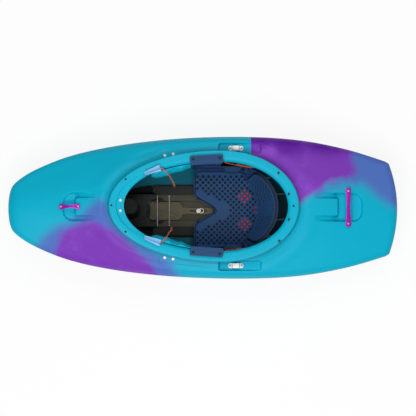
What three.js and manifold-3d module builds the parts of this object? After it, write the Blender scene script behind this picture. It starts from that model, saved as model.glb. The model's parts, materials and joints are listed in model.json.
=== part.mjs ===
// Whitewater kayak, millimetres. Bow along +X, port side along +Y, up along +Z.
// The origin is at the middle of the plan outline, on the flat planing hull.

import * as THREE from 'three';
import * as BufferGeometryUtils from 'three/addons/utils/BufferGeometryUtils.js';
import Module from 'manifold-3d';

const wasm = await Module();
wasm.setup();

// Driving dimensions of the hull
const LENGTH = 1720;
const BEAM = 627;
const HEIGHT = 335;
const WALL = 5;
const CLEARANCE = 0.3;
const OVERRUN = 10;

// Outline of one side in plan: shares of the length from midships and of the half beam.
const outlineShares = [
  [0.5, 0], [0.4955, 0.226], [0.4802, 0.367], [0.4285, 0.549], [0.336, 0.746], [0.213, 0.887],
  [0.0593, 0.976], [-0.11, 1], [-0.249, 0.957], [-0.372, 0.8325], [-0.478, 0.657],
];

// Heights along the boat: shares of the length from midships and of the height.
const crestShares = [
  [0.5, 0.59], [0.47, 0.64], [0.372, 0.738], [0.29, 0.826], [0.226, 0.9], [0.087, 0.945],
  [-0.058, 0.915], [-0.231, 0.81], [-0.302, 0.75], [-0.395, 0.63], [-0.5, 0.487],
];
const gunwaleShares = [
  [0.5, 0.525], [0.35, 0.52], [0.174, 0.565], [0.05, 0.6], [-0.1, 0.6], [-0.291, 0.52], [-0.5, 0.38],
];
const edgeShares = [
  [0.5, 0.04], [0.35, 0.05], [0.174, 0.1], [0.05, 0.125], [-0.1, 0.125], [-0.291, 0.08], [-0.5, 0.05],
];
const rimShares = [
  [0.25, 1], [0.24, 1], [0.087, 0.935], [-0.047, 0.895], [-0.15, 0.89], [-0.26, 0.897],
];

// How hollow the deck's flanks are at the bow and at the stern, and where the hollow starts.
const bowFlankShare = 0.75;
const sternFlankShare = 0.4;
const flankStartShare = 0.15;

// Planing bottom
const BOW_KICK = 135;
const STERN_KICK = 92;
const FLAT_BOW_END = 230;
const FLAT_STERN_END = 250;
const kickPower = 1.9;
const RAIL_MARGIN = 22;
const railFlareShare = 0.17;
const railPower = 1.5;

// Rounded edge where deck and side meet
const EDGE_WIDTH = 30;
const LEAST_HALF = 1;

// Cockpit rim
const RIM_CENTRE = -80;
const RIM_FRONT = 493;
const RIM_REAR = 341;
const RIM_SIDE_DECK = 68.5;
const RIM_HALF_WIDTH = BEAM / 2 - RIM_SIDE_DECK;
const RIM_FLANGE = 30;
const RIM_THICK = 7;
const RIM_LIP = 12;
const NECK_INSET = 24;
const MOUTH_INSET = 48;
const SKIRT_DEPTH = 40;
const SHELF_INSET = 67;
const SHELF_STEP = 9;
const shelfSpreadShare = 0.16;

const RAYS = 56;
const SIDE_STEPS = 160;
const TRANSOM_STEPS = 40;

const halfLength = LENGTH / 2;
const halfBeam = BEAM / 2;

// Smooth curve through a table of shares, read at one place along the boat.
function alongBoat(table, lengthUnit, valueUnit, x) {
  const share = x / lengthUnit;
  const last = table.length - 1;
  if (share >= table[0][0]) return table[0][1] * valueUnit;
  if (share <= table[last][0]) return table[last][1] * valueUnit;
  let i = 0;
  while (table[i + 1][0] > share) i += 1;
  const slope = (a, b) => (table[b][1] - table[a][1]) / (table[b][0] - table[a][0]);
  const span = table[i + 1][0] - table[i][0];
  const startSlope = i > 0 ? slope(i - 1, i + 1) : slope(0, 1);
  const endSlope = i + 2 <= last ? slope(i, i + 2) : slope(last - 1, last);
  const t = (share - table[i][0]) / span;
  const t2 = t * t;
  const t3 = t2 * t;
  const value = (2 * t3 - 3 * t2 + 1) * table[i][1] + (t3 - 2 * t2 + t) * span * startSlope
    + (3 * t2 - 2 * t3) * table[i + 1][1] + (t3 - t2) * span * endSlope;
  return value * valueUnit;
}

// Plan outline from bow to stern on the port side, then across the transom to the middle.
function sideOutline() {
  const side = outlineShares.map(([x, y]) => new THREE.Vector2(x * LENGTH, y * halfBeam));
  const mirrored = outlineShares.slice(1, 3).reverse();
  const lead = mirrored.map(([x, y]) => new THREE.Vector2(x * LENGTH, -y * halfBeam));
  const curve = new THREE.SplineCurve([...lead, ...side]);
  const steps = SIDE_STEPS;
  const start = lead.length / (lead.length + side.length - 1);
  const points = [];
  for (let i = 0; i <= steps; i += 1) points.push(curve.getPoint(start + (1 - start) * i / steps));
  return points;
}

const portSide = sideOutline();
const sternCorner = portSide[portSide.length - 1];

function transomOutline() {
  const rise = sternCorner.x + halfLength;
  const radius = (sternCorner.y ** 2 + rise ** 2) / (2 * rise);
  const sweep = Math.asin(sternCorner.y / radius);
  const points = [];
  for (let i = 1; i <= TRANSOM_STEPS; i += 1) {
    const angle = sweep * (1 - i / TRANSOM_STEPS);
    points.push(new THREE.Vector2(-halfLength + radius * (1 - Math.cos(angle)), radius * Math.sin(angle)));
  }
  return points;
}

const halfOutline = [...portSide, ...transomOutline()];

function halfWidth(x) {
  if (x <= sternCorner.x) return sternCorner.y;
  if (x >= halfLength) return 0;
  let i = 0;
  while (portSide[i + 1].x > x) i += 1;
  const t = (x - portSide[i].x) / (portSide[i + 1].x - portSide[i].x);
  return portSide[i].y + (portSide[i + 1].y - portSide[i].y) * t;
}

function smooth(low, high, value) {
  const t = Math.min(1, Math.max(0, (value - low) / (high - low)));
  return t * t * (3 - 2 * t);
}

const crestHeight = (x) => alongBoat(crestShares, LENGTH, HEIGHT, x);
const edgeHeight = (x) => alongBoat(edgeShares, LENGTH, HEIGHT, x);
const gunwaleHeight = (x) => alongBoat(gunwaleShares, LENGTH, HEIGHT, x);
const rimHeight = (x) => alongBoat(rimShares, LENGTH, HEIGHT, x);

function keelHeight(x) {
  const flatEnd = x > 0 ? FLAT_BOW_END : FLAT_STERN_END;
  const kick = x > 0 ? BOW_KICK : STERN_KICK;
  return kick * Math.max(0, (Math.abs(x) - flatEnd) / (halfLength - flatEnd)) ** kickPower;
}

// Deck height at a plan point, with the distance from the outline that rounds its edge.
function deckHeight(x, y, fromEdge = EDGE_WIDTH) {
  const low = gunwaleHeight(x);
  const edge = edgeHeight(x);
  const rest = crestHeight(x) - low - edge;
  const across = Math.min(1, Math.abs(y) / Math.max(halfWidth(x), LEAST_HALF));
  const flankStart = flankStartShare * LENGTH;
  const bow = bowFlankShare * smooth(flankStart, halfLength, x);
  const stern = sternFlankShare * smooth(flankStart, halfLength, -x);
  const section = (1 - across * across) ** (1 + bow + stern);
  const near = 1 - Math.min(1, fromEdge / EDGE_WIDTH);
  return low + edge * Math.sqrt(1 - near * near) + rest * section;
}

function railInset(x) {
  return RAIL_MARGIN + railFlareShare * (gunwaleHeight(x) - keelHeight(x));
}

// Height of the side between the planing bottom at 0 and the gunwale at 1.
function sideHeight(x, share) {
  const bend = 1 - (1 - share ** railPower) ** (1 / railPower);
  return keelHeight(x) + (gunwaleHeight(x) - keelHeight(x)) * bend;
}

// Oval of the cockpit rim, moved inwards by an inset.
function rimPoint(angle, inset) {
  const reach = Math.cos(angle) > 0 ? RIM_FRONT : RIM_REAR;
  return new THREE.Vector2(
    RIM_CENTRE + (reach - inset) * Math.cos(angle),
    (RIM_HALF_WIDTH - inset) * Math.sin(angle),
  );
}

// Reach of the plan outline from the rim's centre, for a bearing from 0 at the bow to pi astern.
const bearings = halfOutline.map((p) => Math.atan2(p.y, p.x - RIM_CENTRE));
const reaches = halfOutline.map((p) => Math.hypot(p.y, p.x - RIM_CENTRE));

function outlineReach(bearing) {
  const b = Math.abs(bearing);
  let i = 0;
  while (i < bearings.length - 2 && bearings[i + 1] < b) i += 1;
  const t = (b - bearings[i]) / (bearings[i + 1] - bearings[i]);
  return reaches[i] + (reaches[i + 1] - reaches[i]) * t;
}

// The rays that the moulding is built on: one in each stern corner, the rest at even angles.
function rayAngles() {
  const angles = [];
  for (let i = 0; i < RAYS; i += 1) angles.push(2 * Math.PI * (i / RAYS) - Math.PI);
  const bearing = Math.atan2(sternCorner.y, sternCorner.x - RIM_CENTRE);
  const corner = Math.atan2(Math.sin(bearing) / RIM_HALF_WIDTH, Math.cos(bearing) / RIM_REAR);
  const nearest = (value) => angles.reduce((best, a, i) => (
    Math.abs(a - value) < Math.abs(angles[best] - value) ? i : best), 0);
  angles[nearest(corner)] = corner;
  angles[nearest(-corner)] = -corner;
  return angles;
}

function makeRay(angle) {
  const neck = rimPoint(angle, NECK_INSET);
  const bearing = Math.atan2(neck.y, neck.x - RIM_CENTRE);
  const reach = outlineReach(bearing);
  const nudge = Math.PI / RAYS / 4;
  const turn = (outlineReach(Math.min(Math.PI, Math.abs(bearing) + nudge))
    - outlineReach(Math.max(0, Math.abs(bearing) - nudge))) / (2 * nudge);
  const facing = 1 / Math.hypot(1, turn / reach);
  const direction = new THREE.Vector2(Math.cos(bearing), Math.sin(bearing));
  return { angle, direction, reach, facing };
}

const rays = rayAngles().map(makeRay);

function onRay(ray, distance) {
  return new THREE.Vector2(RIM_CENTRE + ray.direction.x * distance, ray.direction.y * distance);
}

// Rings of the bottom and side, from the middle out to the gunwale.
const flatMostShare = 0.8;
const bottomSpreadShares = [0, 0.36, 0.7];
const sideRiseShares = [0, 0.3, 0.65, 1];
const edgeSpreadShares = [0.06, 0.3, 1];
const deckSpreadShares = [0.72, 0.44, 0.18];

function bottomRings(inset, lift) {
  const rings = [];
  const at = (ray, inward) => onRay(ray, ray.reach - (inset + inward) / ray.facing);
  const railAt = (ray) => at(ray, railInset(onRay(ray, ray.reach - inset).x));
  for (const share of bottomSpreadShares) {
    rings.push(rays.map((ray) => {
      const rail = railAt(ray);
      const flatEnd = rail.x > RIM_CENTRE ? FLAT_BOW_END : -FLAT_STERN_END;
      const flat = Math.min(flatMostShare, (flatEnd - RIM_CENTRE) / (rail.x - RIM_CENTRE));
      const spread = flat + (1 - flat) * share;
      const x = RIM_CENTRE + (rail.x - RIM_CENTRE) * spread;
      return new THREE.Vector3(x, rail.y * spread, keelHeight(x) + lift);
    }));
  }
  for (const share of sideRiseShares) {
    rings.push(rays.map((ray) => {
      const edge = onRay(ray, ray.reach - inset);
      const p = at(ray, railInset(edge.x) * (1 - share));
      return new THREE.Vector3(p.x, p.y, sideHeight(p.x, share) + lift * (1 - share));
    }));
  }
  return rings;
}

// Rings of the deck, from the gunwale in to the neck under the rim.
function deckRings(inset, drop, neckInset) {
  const rings = [];
  for (const share of edgeSpreadShares) {
    const width = EDGE_WIDTH * share;
    rings.push(rays.map((ray) => {
      const p = onRay(ray, ray.reach - (inset + width) / ray.facing);
      return new THREE.Vector3(p.x, p.y, deckHeight(p.x, p.y, width) - drop * share);
    }));
  }
  for (const share of [...deckSpreadShares, 0]) {
    rings.push(rays.map((ray) => {
      const neck = rimPoint(ray.angle, neckInset);
      const edge = onRay(ray, ray.reach - (inset + EDGE_WIDTH) / ray.facing);
      const p = neck.clone().lerp(edge, share);
      return new THREE.Vector3(p.x, p.y, deckHeight(p.x, p.y) - drop);
    }));
  }
  return rings;
}

// The shelf inside the front of the rim, from 1 at the bow end to 0 at the sides.
function shelfShare(angle) {
  return 1 - smooth(0, shelfSpreadShare * 2 * Math.PI, Math.abs(angle));
}

function rimRing(insetAtSide, insetAtFront, dropAtSide, dropAtFront) {
  return rays.map((ray) => {
    const shelf = shelfShare(ray.angle);
    const inset = insetAtSide + (insetAtFront - insetAtSide) * shelf;
    const p = rimPoint(ray.angle, inset);
    const drop = dropAtSide + (dropAtFront - dropAtSide) * shelf;
    return new THREE.Vector3(p.x, p.y, rimHeight(rimPoint(ray.angle, 0).x) - drop);
  });
}

// The folded rim: up the neck, out under the flange, over it, and down the skirt inside.
const LIP_ROUND = 2;
const ROLL = 6;
function rimRings() {
  const slotRoof = RIM_THICK + ROLL;
  const neckInside = NECK_INSET + WALL;
  const skirtBack = MOUTH_INSET - WALL;
  const shelfBack = SHELF_INSET - WALL;
  return [
    rimRing(NECK_INSET, NECK_INSET, RIM_THICK, RIM_THICK),
    rimRing(LIP_ROUND + LIP_ROUND, LIP_ROUND + LIP_ROUND, RIM_THICK, RIM_THICK),
    rimRing(LIP_ROUND + LIP_ROUND, LIP_ROUND + LIP_ROUND, RIM_LIP, RIM_LIP),
    rimRing(0, 0, RIM_LIP, RIM_LIP),
    rimRing(0, 0, LIP_ROUND, LIP_ROUND),
    rimRing(LIP_ROUND, LIP_ROUND, 0, 0),
    rimRing(RIM_FLANGE, RIM_FLANGE + LIP_ROUND, 0, 0),
    rimRing(RIM_FLANGE + ROLL, RIM_FLANGE + LIP_ROUND + LIP_ROUND, LIP_ROUND, SHELF_STEP),
    rimRing(MOUTH_INSET - LIP_ROUND, SHELF_INSET - LIP_ROUND, ROLL + LIP_ROUND, SHELF_STEP),
    rimRing(MOUTH_INSET, SHELF_INSET, ROLL + ROLL, SHELF_STEP + LIP_ROUND),
    rimRing(MOUTH_INSET, SHELF_INSET, SKIRT_DEPTH, SKIRT_DEPTH),
    rimRing(skirtBack, shelfBack, SKIRT_DEPTH, SKIRT_DEPTH),
    rimRing(skirtBack, shelfBack, slotRoof, slotRoof + LIP_ROUND),
    rimRing(neckInside, neckInside, slotRoof, slotRoof + LIP_ROUND),
  ];
}

// Closed surface over a list of rings, with a pole at each end.
function skinRings(rings, firstPole, lastPole) {
  const count = rings[0].length;
  const vertices = rings.flat().flatMap((p) => [p.x, p.y, p.z]);
  const index = [];
  for (let j = 0; j + 1 < rings.length; j += 1) {
    for (let i = 0; i < count; i += 1) {
      const k = (i + 1) % count;
      const a = j * count + i;
      const b = j * count + k;
      const c = (j + 1) * count + k;
      const d = (j + 1) * count + i;
      index.push(a, b, c, a, c, d);
    }
  }
  const first = rings.length * count;
  const last = first + 1;
  vertices.push(firstPole.x, firstPole.y, firstPole.z, lastPole.x, lastPole.y, lastPole.z);
  for (let i = 0; i < count; i += 1) {
    const k = (i + 1) % count;
    index.push(first, k, i);
    index.push(last, (rings.length - 1) * count + i, (rings.length - 1) * count + k);
  }
  const geometry = new THREE.BufferGeometry();
  geometry.setAttribute('position', new THREE.Float32BufferAttribute(vertices, 3));
  geometry.setIndex(index);
  return geometry;
}

function hullMoulding() {
  const neckInside = NECK_INSET + WALL;
  const inner = [...bottomRings(WALL, WALL), ...deckRings(WALL, WALL, neckInside)].reverse();
  const rings = [...bottomRings(0, 0), ...deckRings(0, 0, NECK_INSET), ...rimRings(), ...inner];
  const below = new THREE.Vector3(RIM_CENTRE, 0, 0);
  const above = new THREE.Vector3(RIM_CENTRE, 0, WALL);
  return skinRings(rings, below, above);
}

// A closed solid of the hull's outside, moved outwards by an offset, or inwards where it is negative.
function hullBody(offset) {
  const rings = [...bottomRings(-offset, -offset), ...deckRings(-offset, -offset, NECK_INSET - offset)];
  const below = new THREE.Vector3(RIM_CENTRE, 0, -offset);
  const above = new THREE.Vector3(RIM_CENTRE, 0, deckHeight(RIM_CENTRE, 0) + offset);
  if (offset < 0) return facingOut(skinRings(rings.reverse(), above, below));
  return skinRings(rings, below, above);
}

// Solids for cuts and joins, without splinters smaller than this
const SLIVER = 0.06;
function toSolid(geometry) {
  const plain = geometry.clone();
  plain.deleteAttribute('normal');
  plain.deleteAttribute('uv');
  const merged = BufferGeometryUtils.mergeVertices(plain);
  const vertProperties = new Float32Array(merged.attributes.position.array);
  const triVerts = new Uint32Array(merged.index.array);
  return new wasm.Manifold(new wasm.Mesh({ numProp: 3, vertProperties, triVerts }));
}

function toGeometry(solid) {
  const mesh = solid.simplify(SLIVER).getMesh();
  const geometry = new THREE.BufferGeometry();
  geometry.setAttribute('position', new THREE.Float32BufferAttribute(mesh.vertProperties, 3));
  geometry.setIndex([...mesh.triVerts]);
  return geometry;
}

function join(first, ...others) {
  return toGeometry(others.reduce((sum, g) => sum.add(toSolid(g)), toSolid(first)));
}

function cut(first, ...others) {
  return toGeometry(others.reduce((sum, g) => sum.subtract(toSolid(g)), toSolid(first)));
}

function common(first, other) {
  return toGeometry(toSolid(first).intersect(toSolid(other)));
}

// Shapes
const CURVE_STEPS = 4;
function extrudeUp(shape, low, high) {
  const settings = { depth: high - low, bevelEnabled: false, curveSegments: CURVE_STEPS };
  return new THREE.ExtrudeGeometry(shape, settings).translate(0, 0, low);
}

// A profile drawn in X and Z, given a width along Y.
function extrudeAcross(shape, from, to) {
  const settings = { depth: to - from, bevelEnabled: false, curveSegments: CURVE_STEPS };
  return new THREE.ExtrudeGeometry(shape, settings).rotateX(Math.PI / 2).translate(0, to, 0);
}

function polygon(points) {
  const shape = new THREE.Shape();
  points.forEach(([a, b], i) => (i ? shape.lineTo(a, b) : shape.moveTo(a, b)));
  return shape;
}

function roundedRect(x0, x1, y0, y1, radius) {
  const r = Math.min(radius, (x1 - x0) / 2, (y1 - y0) / 2);
  const shape = new THREE.Shape();
  shape.moveTo(x0 + r, y0);
  shape.lineTo(x1 - r, y0);
  shape.absarc(x1 - r, y0 + r, r, -Math.PI / 2, 0, false);
  shape.lineTo(x1, y1 - r);
  shape.absarc(x1 - r, y1 - r, r, 0, Math.PI / 2, false);
  shape.lineTo(x0 + r, y1);
  shape.absarc(x0 + r, y1 - r, r, Math.PI / 2, Math.PI, false);
  shape.lineTo(x0, y0 + r);
  shape.absarc(x0 + r, y0 + r, r, Math.PI, Math.PI * 1.5, false);
  return shape;
}

function drape(geometry, heightAt) {
  const p = geometry.attributes.position;
  for (let i = 0; i < p.count; i += 1) p.setZ(i, p.getZ(i) + heightAt(p.getX(i), p.getY(i)));
  return geometry;
}

// A solid between two grids of points that face each other.
function between(front, back) {
  const m = front.length;
  const n = front[0].length;
  const vertices = [...front.flat(), ...back.flat()].flatMap((p) => [p.x, p.y, p.z]);
  const f = (i, j) => i * n + j;
  const b = (i, j) => m * n + i * n + j;
  const index = [];
  const quad = (p, q, r, s) => index.push(p, q, r, p, r, s);
  for (let i = 0; i + 1 < m; i += 1) {
    for (let j = 0; j + 1 < n; j += 1) {
      quad(f(i, j), f(i + 1, j), f(i + 1, j + 1), f(i, j + 1));
      quad(b(i, j), b(i, j + 1), b(i + 1, j + 1), b(i + 1, j));
    }
  }
  for (let i = 0; i + 1 < m; i += 1) {
    quad(f(i, 0), b(i, 0), b(i + 1, 0), f(i + 1, 0));
    quad(f(i, n - 1), f(i + 1, n - 1), b(i + 1, n - 1), b(i, n - 1));
  }
  for (let j = 0; j + 1 < n; j += 1) {
    quad(f(0, j), f(0, j + 1), b(0, j + 1), b(0, j));
    quad(f(m - 1, j), b(m - 1, j), b(m - 1, j + 1), f(m - 1, j + 1));
  }
  const geometry = new THREE.BufferGeometry();
  geometry.setAttribute('position', new THREE.Float32BufferAttribute(vertices, 3));
  geometry.setIndex(index);
  return facingOut(geometry);
}

function volumeOf(geometry) {
  const p = geometry.attributes.position;
  const at = (k) => new THREE.Vector3().fromBufferAttribute(p, geometry.index.getX(k));
  let sum = 0;
  for (let k = 0; k < geometry.index.count; k += 3) sum += at(k).dot(at(k + 1).cross(at(k + 2))) / 6;
  return sum;
}

function facingOut(geometry) {
  if (volumeOf(geometry) < 0) {
    const index = [...geometry.index.array];
    for (let k = 0; k < index.length; k += 3) [index[k], index[k + 1]] = [index[k + 1], index[k]];
    geometry.setIndex(index);
  }
  return geometry;
}

// The same piece on the starboard side.
function mirrorSide(geometry) {
  const mirrored = geometry.clone().scale(1, -1, 1);
  if (mirrored.index) return facingOut(mirrored);
  const merged = BufferGeometryUtils.mergeVertices(mirrored);
  return facingOut(merged);
}

// A bar lofted through rounded sections that follow a line of centres.
const squareShare = 0.55;
function loftBar(sections, sides) {
  const rings = sections.map(({ centre, across, up, halfWide, halfHigh }) => {
    const ring = [];
    for (let i = 0; i < sides; i += 1) {
      const angle = 2 * Math.PI * (i + 0.5) / sides;
      const c = Math.cos(angle);
      const s = Math.sin(angle);
      const bulge = Math.max(Math.abs(c), Math.abs(s)) ** squareShare;
      ring.push(centre.clone()
        .addScaledVector(across, halfWide * c / bulge)
        .addScaledVector(up, halfHigh * s / bulge));
    }
    return ring;
  });
  const geometry = skinRings(rings, sections[0].centre, sections[sections.length - 1].centre);
  return facingOut(geometry);
}
// A screw with a domed head: the profile turned about Z, its head resting at 0.
const SCREW_SIDES = 7;
const screwCrownShare = 0.7;
function makeScrew(headRadius, headHigh, shankRadius, shankLong) {
  const profile = [
    [0, -shankLong], [shankRadius, -shankLong], [shankRadius, 0], [headRadius, 0],
    [headRadius, headHigh / 2], [headRadius * screwCrownShare, headHigh], [0, headHigh],
  ].map(([r, z]) => new THREE.Vector2(r, z));
  return new THREE.LatheGeometry(profile, SCREW_SIDES).rotateX(Math.PI / 2);
}

// Deck recesses: a pocket beside the cockpit on each side, and a finger bowl under each handle
const POCKET_FRONT = -70;
const POCKET_LENGTH = 185;
const POCKET_SHY = 5;
const POCKET_INNER = RIM_HALF_WIDTH - POCKET_SHY;
const POCKET_WIDTH = 40;
const POCKET_DEPTH = 15;
const POCKET_ROUND = 8;
const POCKET_REACH = 40;
const BAR_X = -144.5;
const BOWL_HALF = 60;
const BOWL_DEPTH = 26;
const BOWL_ROUND = 42;
const TONGUE_HALF = 40;
const TONGUE_ROUND = 10;
const bowlEndDepthShare = 0.65;
const STERN_BOWL_SETBACK = 158;
const STERN_BOWL_LONG = 216;
const STERN_TONGUE_LONG = 109;
const BOW_BOWL_SETBACK = 246;
const BOW_BOWL_LONG = 159;
const BOW_TONGUE_LONG = 107;
const sternBowlOpen = STERN_BOWL_SETBACK + STERN_BOWL_LONG - halfLength;
const bowBowlOpen = halfLength - BOW_BOWL_SETBACK - BOW_BOWL_LONG;
const STERN_BOWL = {
  open: sternBowlOpen,
  tongue: sternBowlOpen - STERN_TONGUE_LONG,
  end: sternBowlOpen - STERN_BOWL_LONG,
};
const BOW_BOWL = {
  open: bowBowlOpen,
  tongue: bowBowlOpen + BOW_TONGUE_LONG,
  end: bowBowlOpen + BOW_BOWL_LONG,
};

const pocketFloor = deckHeight(BAR_X, POCKET_INNER + POCKET_WIDTH) - POCKET_DEPTH;

function pocketShape(grow) {
  return roundedRect(
    POCKET_FRONT - POCKET_LENGTH - grow,
    POCKET_FRONT + grow,
    POCKET_INNER - grow,
    POCKET_INNER + POCKET_WIDTH + grow,
    POCKET_ROUND + grow,
  );
}

function pocketLining() {
  const block = extrudeUp(pocketShape(WALL), pocketFloor - WALL, HEIGHT);
  return common(block, hullBody(-WALL / 2));
}

const pocketCut = () => extrudeUp(pocketShape(0), pocketFloor, pocketFloor + POCKET_REACH);

// A finger bowl, open towards the cockpit, that runs round a tongue of deck.
function bowlSolid(bowl, grow) {
  const { open, tongue, end } = bowl;
  const way = Math.sign(end - open);
  const floor = [
    [open - way * OVERRUN, deckHeight(open, 0) + OVERRUN - grow],
    [open, deckHeight(open, 0) - grow],
    [tongue, deckHeight(tongue, 0) - BOWL_DEPTH - grow],
    [end + way * grow, deckHeight(end, 0) - BOWL_DEPTH * bowlEndDepthShare - grow],
  ];
  const top = HEIGHT + OVERRUN;
  const profile = polygon([...floor, [end + way * grow, top], [open - way * OVERRUN, top]]);
  const half = BOWL_HALF + grow;
  const over = extrudeAcross(profile, -half, half);
  const back = open - way * (OVERRUN + BOWL_ROUND);
  const low = Math.min(back, end + way * grow);
  const high = Math.max(back, end + way * grow);
  const plan = extrudeUp(roundedRect(low, high, -half, half, BOWL_ROUND + grow), 0, top + OVERRUN);
  const tip = tongue - way * grow;
  const rest = open - way * (OVERRUN + BOWL_ROUND + OVERRUN);
  const tongueShape = roundedRect(
    Math.min(tip, rest),
    Math.max(tip, rest),
    -TONGUE_HALF + grow,
    TONGUE_HALF - grow,
    TONGUE_ROUND,
  );
  return cut(common(over, plan), extrudeUp(tongueShape, -OVERRUN, top + OVERRUN + OVERRUN));
}

// Stepped panel of the deck round the bolts of the thigh brace
const PANEL_DEPTH = 3;
const PANEL_FRONT = 196;
const PANEL_REAR = -26;
const PANEL_WIDE_FRONT = -1;
const PANEL_WIDE_REAR = 23;
const PANEL_OUTER_FRONT = RIM_HALF_WIDTH + PANEL_WIDE_FRONT;
const PANEL_OUTER_REAR = RIM_HALF_WIDTH + PANEL_WIDE_REAR;
const PANEL_MARGIN = 2;
const PANEL_STEPS = 6;

function panelCut() {
  const edge = (x) => {
    const reach = (x - RIM_CENTRE) / (RIM_FRONT + PANEL_MARGIN);
    return (RIM_HALF_WIDTH + PANEL_MARGIN) * Math.sqrt(1 - reach * reach);
  };
  const inside = [];
  for (let i = 0; i <= PANEL_STEPS; i += 1) {
    const x = PANEL_REAR + (PANEL_FRONT - PANEL_REAR) * i / PANEL_STEPS;
    inside.push([x, edge(x)]);
  }
  const shape = polygon([
    ...inside, [PANEL_FRONT, PANEL_OUTER_FRONT - POCKET_ROUND],
    [PANEL_FRONT - POCKET_ROUND, PANEL_OUTER_FRONT], [PANEL_REAR, PANEL_OUTER_REAR],
  ]);
  const block = extrudeUp(shape, gunwaleHeight(0), deckHeight(PANEL_FRONT, 0));
  return cut(block, hullBody(-PANEL_DEPTH));
}

// Thigh braces and their bolts
const RIM_SEARCH = 24;
const BRACE_FRONT = 225;
const BRACE_REAR = 54;
const BRACE_CORNER = 184;
const BRACE_CORNER_REACH = 120;
const BRACE_REAR_REACH = 78;
const BRACE_CORNER_SIDE = RIM_HALF_WIDTH - BRACE_CORNER_REACH;
const BRACE_REAR_SIDE = RIM_HALF_WIDTH - BRACE_REAR_REACH;
const BRACE_GAP = 2.5;
const BRACE_WALL = 4;
const BRACE_DEPTH = 44;
const BRACE_STATIONS = 8;
const BRACE_ROWS = 3;
const BRACE_EASE = 1.2;
const BRACE_TRAVEL = 10;
const braceSlideShare = 0.27;
const braceSectionShares = [[0, 1.1], [0, 0.4], [0.14, 0.28], [0.45, 0.34], [0.88, 0.66], [1, 1]];
const BRACE_PLATE_FRONT = 196;
const BRACE_PLATE_REAR = 104;
const BRACE_PLATE_SHY = 2;
const BRACE_PLATE_OUTER = RIM_HALF_WIDTH - BRACE_PLATE_SHY;
const BOLT_SHY_FRONT = 20;
const BOLT_SHY_REAR = 13.5;
const BRACE_BOLTS = [[168, RIM_HALF_WIDTH - BOLT_SHY_FRONT], [131, RIM_HALF_WIDTH - BOLT_SHY_REAR]];
const BOLT_RADIUS = 3;
const BOLT_HEAD = 7;
const BOLT_HEAD_HIGH = 4;
const BOLT_TAIL = 6;

function rimHalf(x, inset) {
  const reach = x > RIM_CENTRE ? RIM_FRONT : RIM_REAR;
  return (RIM_HALF_WIDTH - inset) * Math.sqrt(1 - ((x - RIM_CENTRE) / (reach - inset)) ** 2);
}

function mouthHalf(x) {
  if (x < RIM_CENTRE) return rimHalf(x, MOUTH_INSET);
  const angle = Math.acos((x - RIM_CENTRE) / (RIM_FRONT - MOUTH_INSET));
  return rimHalf(x, MOUTH_INSET + (SHELF_INSET - MOUTH_INSET) * shelfShare(angle));
}

// Height of the rim's top at a plan point on it
function rimTop(x, y) {
  const side = x > RIM_CENTRE ? RIM_FRONT : RIM_REAR;
  let low = 0;
  let high = RIM_HALF_WIDTH / 2;
  for (let i = 0; i < RIM_SEARCH; i += 1) {
    const inset = (low + high) / 2;
    const over = ((x - RIM_CENTRE) / (side - inset)) ** 2 + (y / (RIM_HALF_WIDTH - inset)) ** 2;
    if (over < 1) low = inset;
    else high = inset;
  }
  const turn = Math.min(1, Math.abs(x - RIM_CENTRE) / (side - low));
  return rimHeight(RIM_CENTRE + Math.sign(x - RIM_CENTRE) * side * turn);
}

// Points of a flat line moved sideways by a distance.
function offsetLine(points, distance) {
  return points.map((p, i) => {
    const before = points[Math.max(0, i - 1)];
    const after = points[Math.min(points.length - 1, i + 1)];
    const run = after.clone().sub(before).normalize();
    return new THREE.Vector2(p.x - run.y * distance, p.y + run.x * distance);
  });
}

function braceFreeSide(x) {
  if (x > BRACE_CORNER) return BRACE_CORNER_SIDE;
  const t = (BRACE_CORNER - x) / (BRACE_CORNER - BRACE_REAR);
  return BRACE_CORNER_SIDE + (BRACE_REAR_SIDE - BRACE_CORNER_SIDE) * t;
}

function braceSection(x) {
  const outer = mouthHalf(x) - BRACE_GAP;
  const width = outer - braceFreeSide(x);
  const line = braceSectionShares.map(([w, d]) => (
    new THREE.Vector2(outer - w * width, rimHeight(x) - d * BRACE_DEPTH)));
  return { front: line, back: offsetLine(line, BRACE_WALL) };
}

// The plate passes under the skirt and lies under the deck's inside.
function bracePlateLine(x) {
  const inner = mouthHalf(x) - BRACE_GAP - BRACE_WALL / 2;
  const neck = rimHalf(x, NECK_INSET) + BRACE_WALL;
  const skirt = rimTop(x, inner) - SKIRT_DEPTH - BRACE_EASE;
  const under = (y) => deckHeight(x, y) - WALL - BRACE_EASE;
  const line = [[inner, Math.min(skirt, under(neck))], [neck, Math.min(skirt, under(neck))]];
  for (let i = 1; i <= BRACE_ROWS; i += 1) {
    const y = neck + (BRACE_PLATE_OUTER - neck) * i / BRACE_ROWS;
    line.push([y, under(y)]);
  }
  return line;
}

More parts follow.
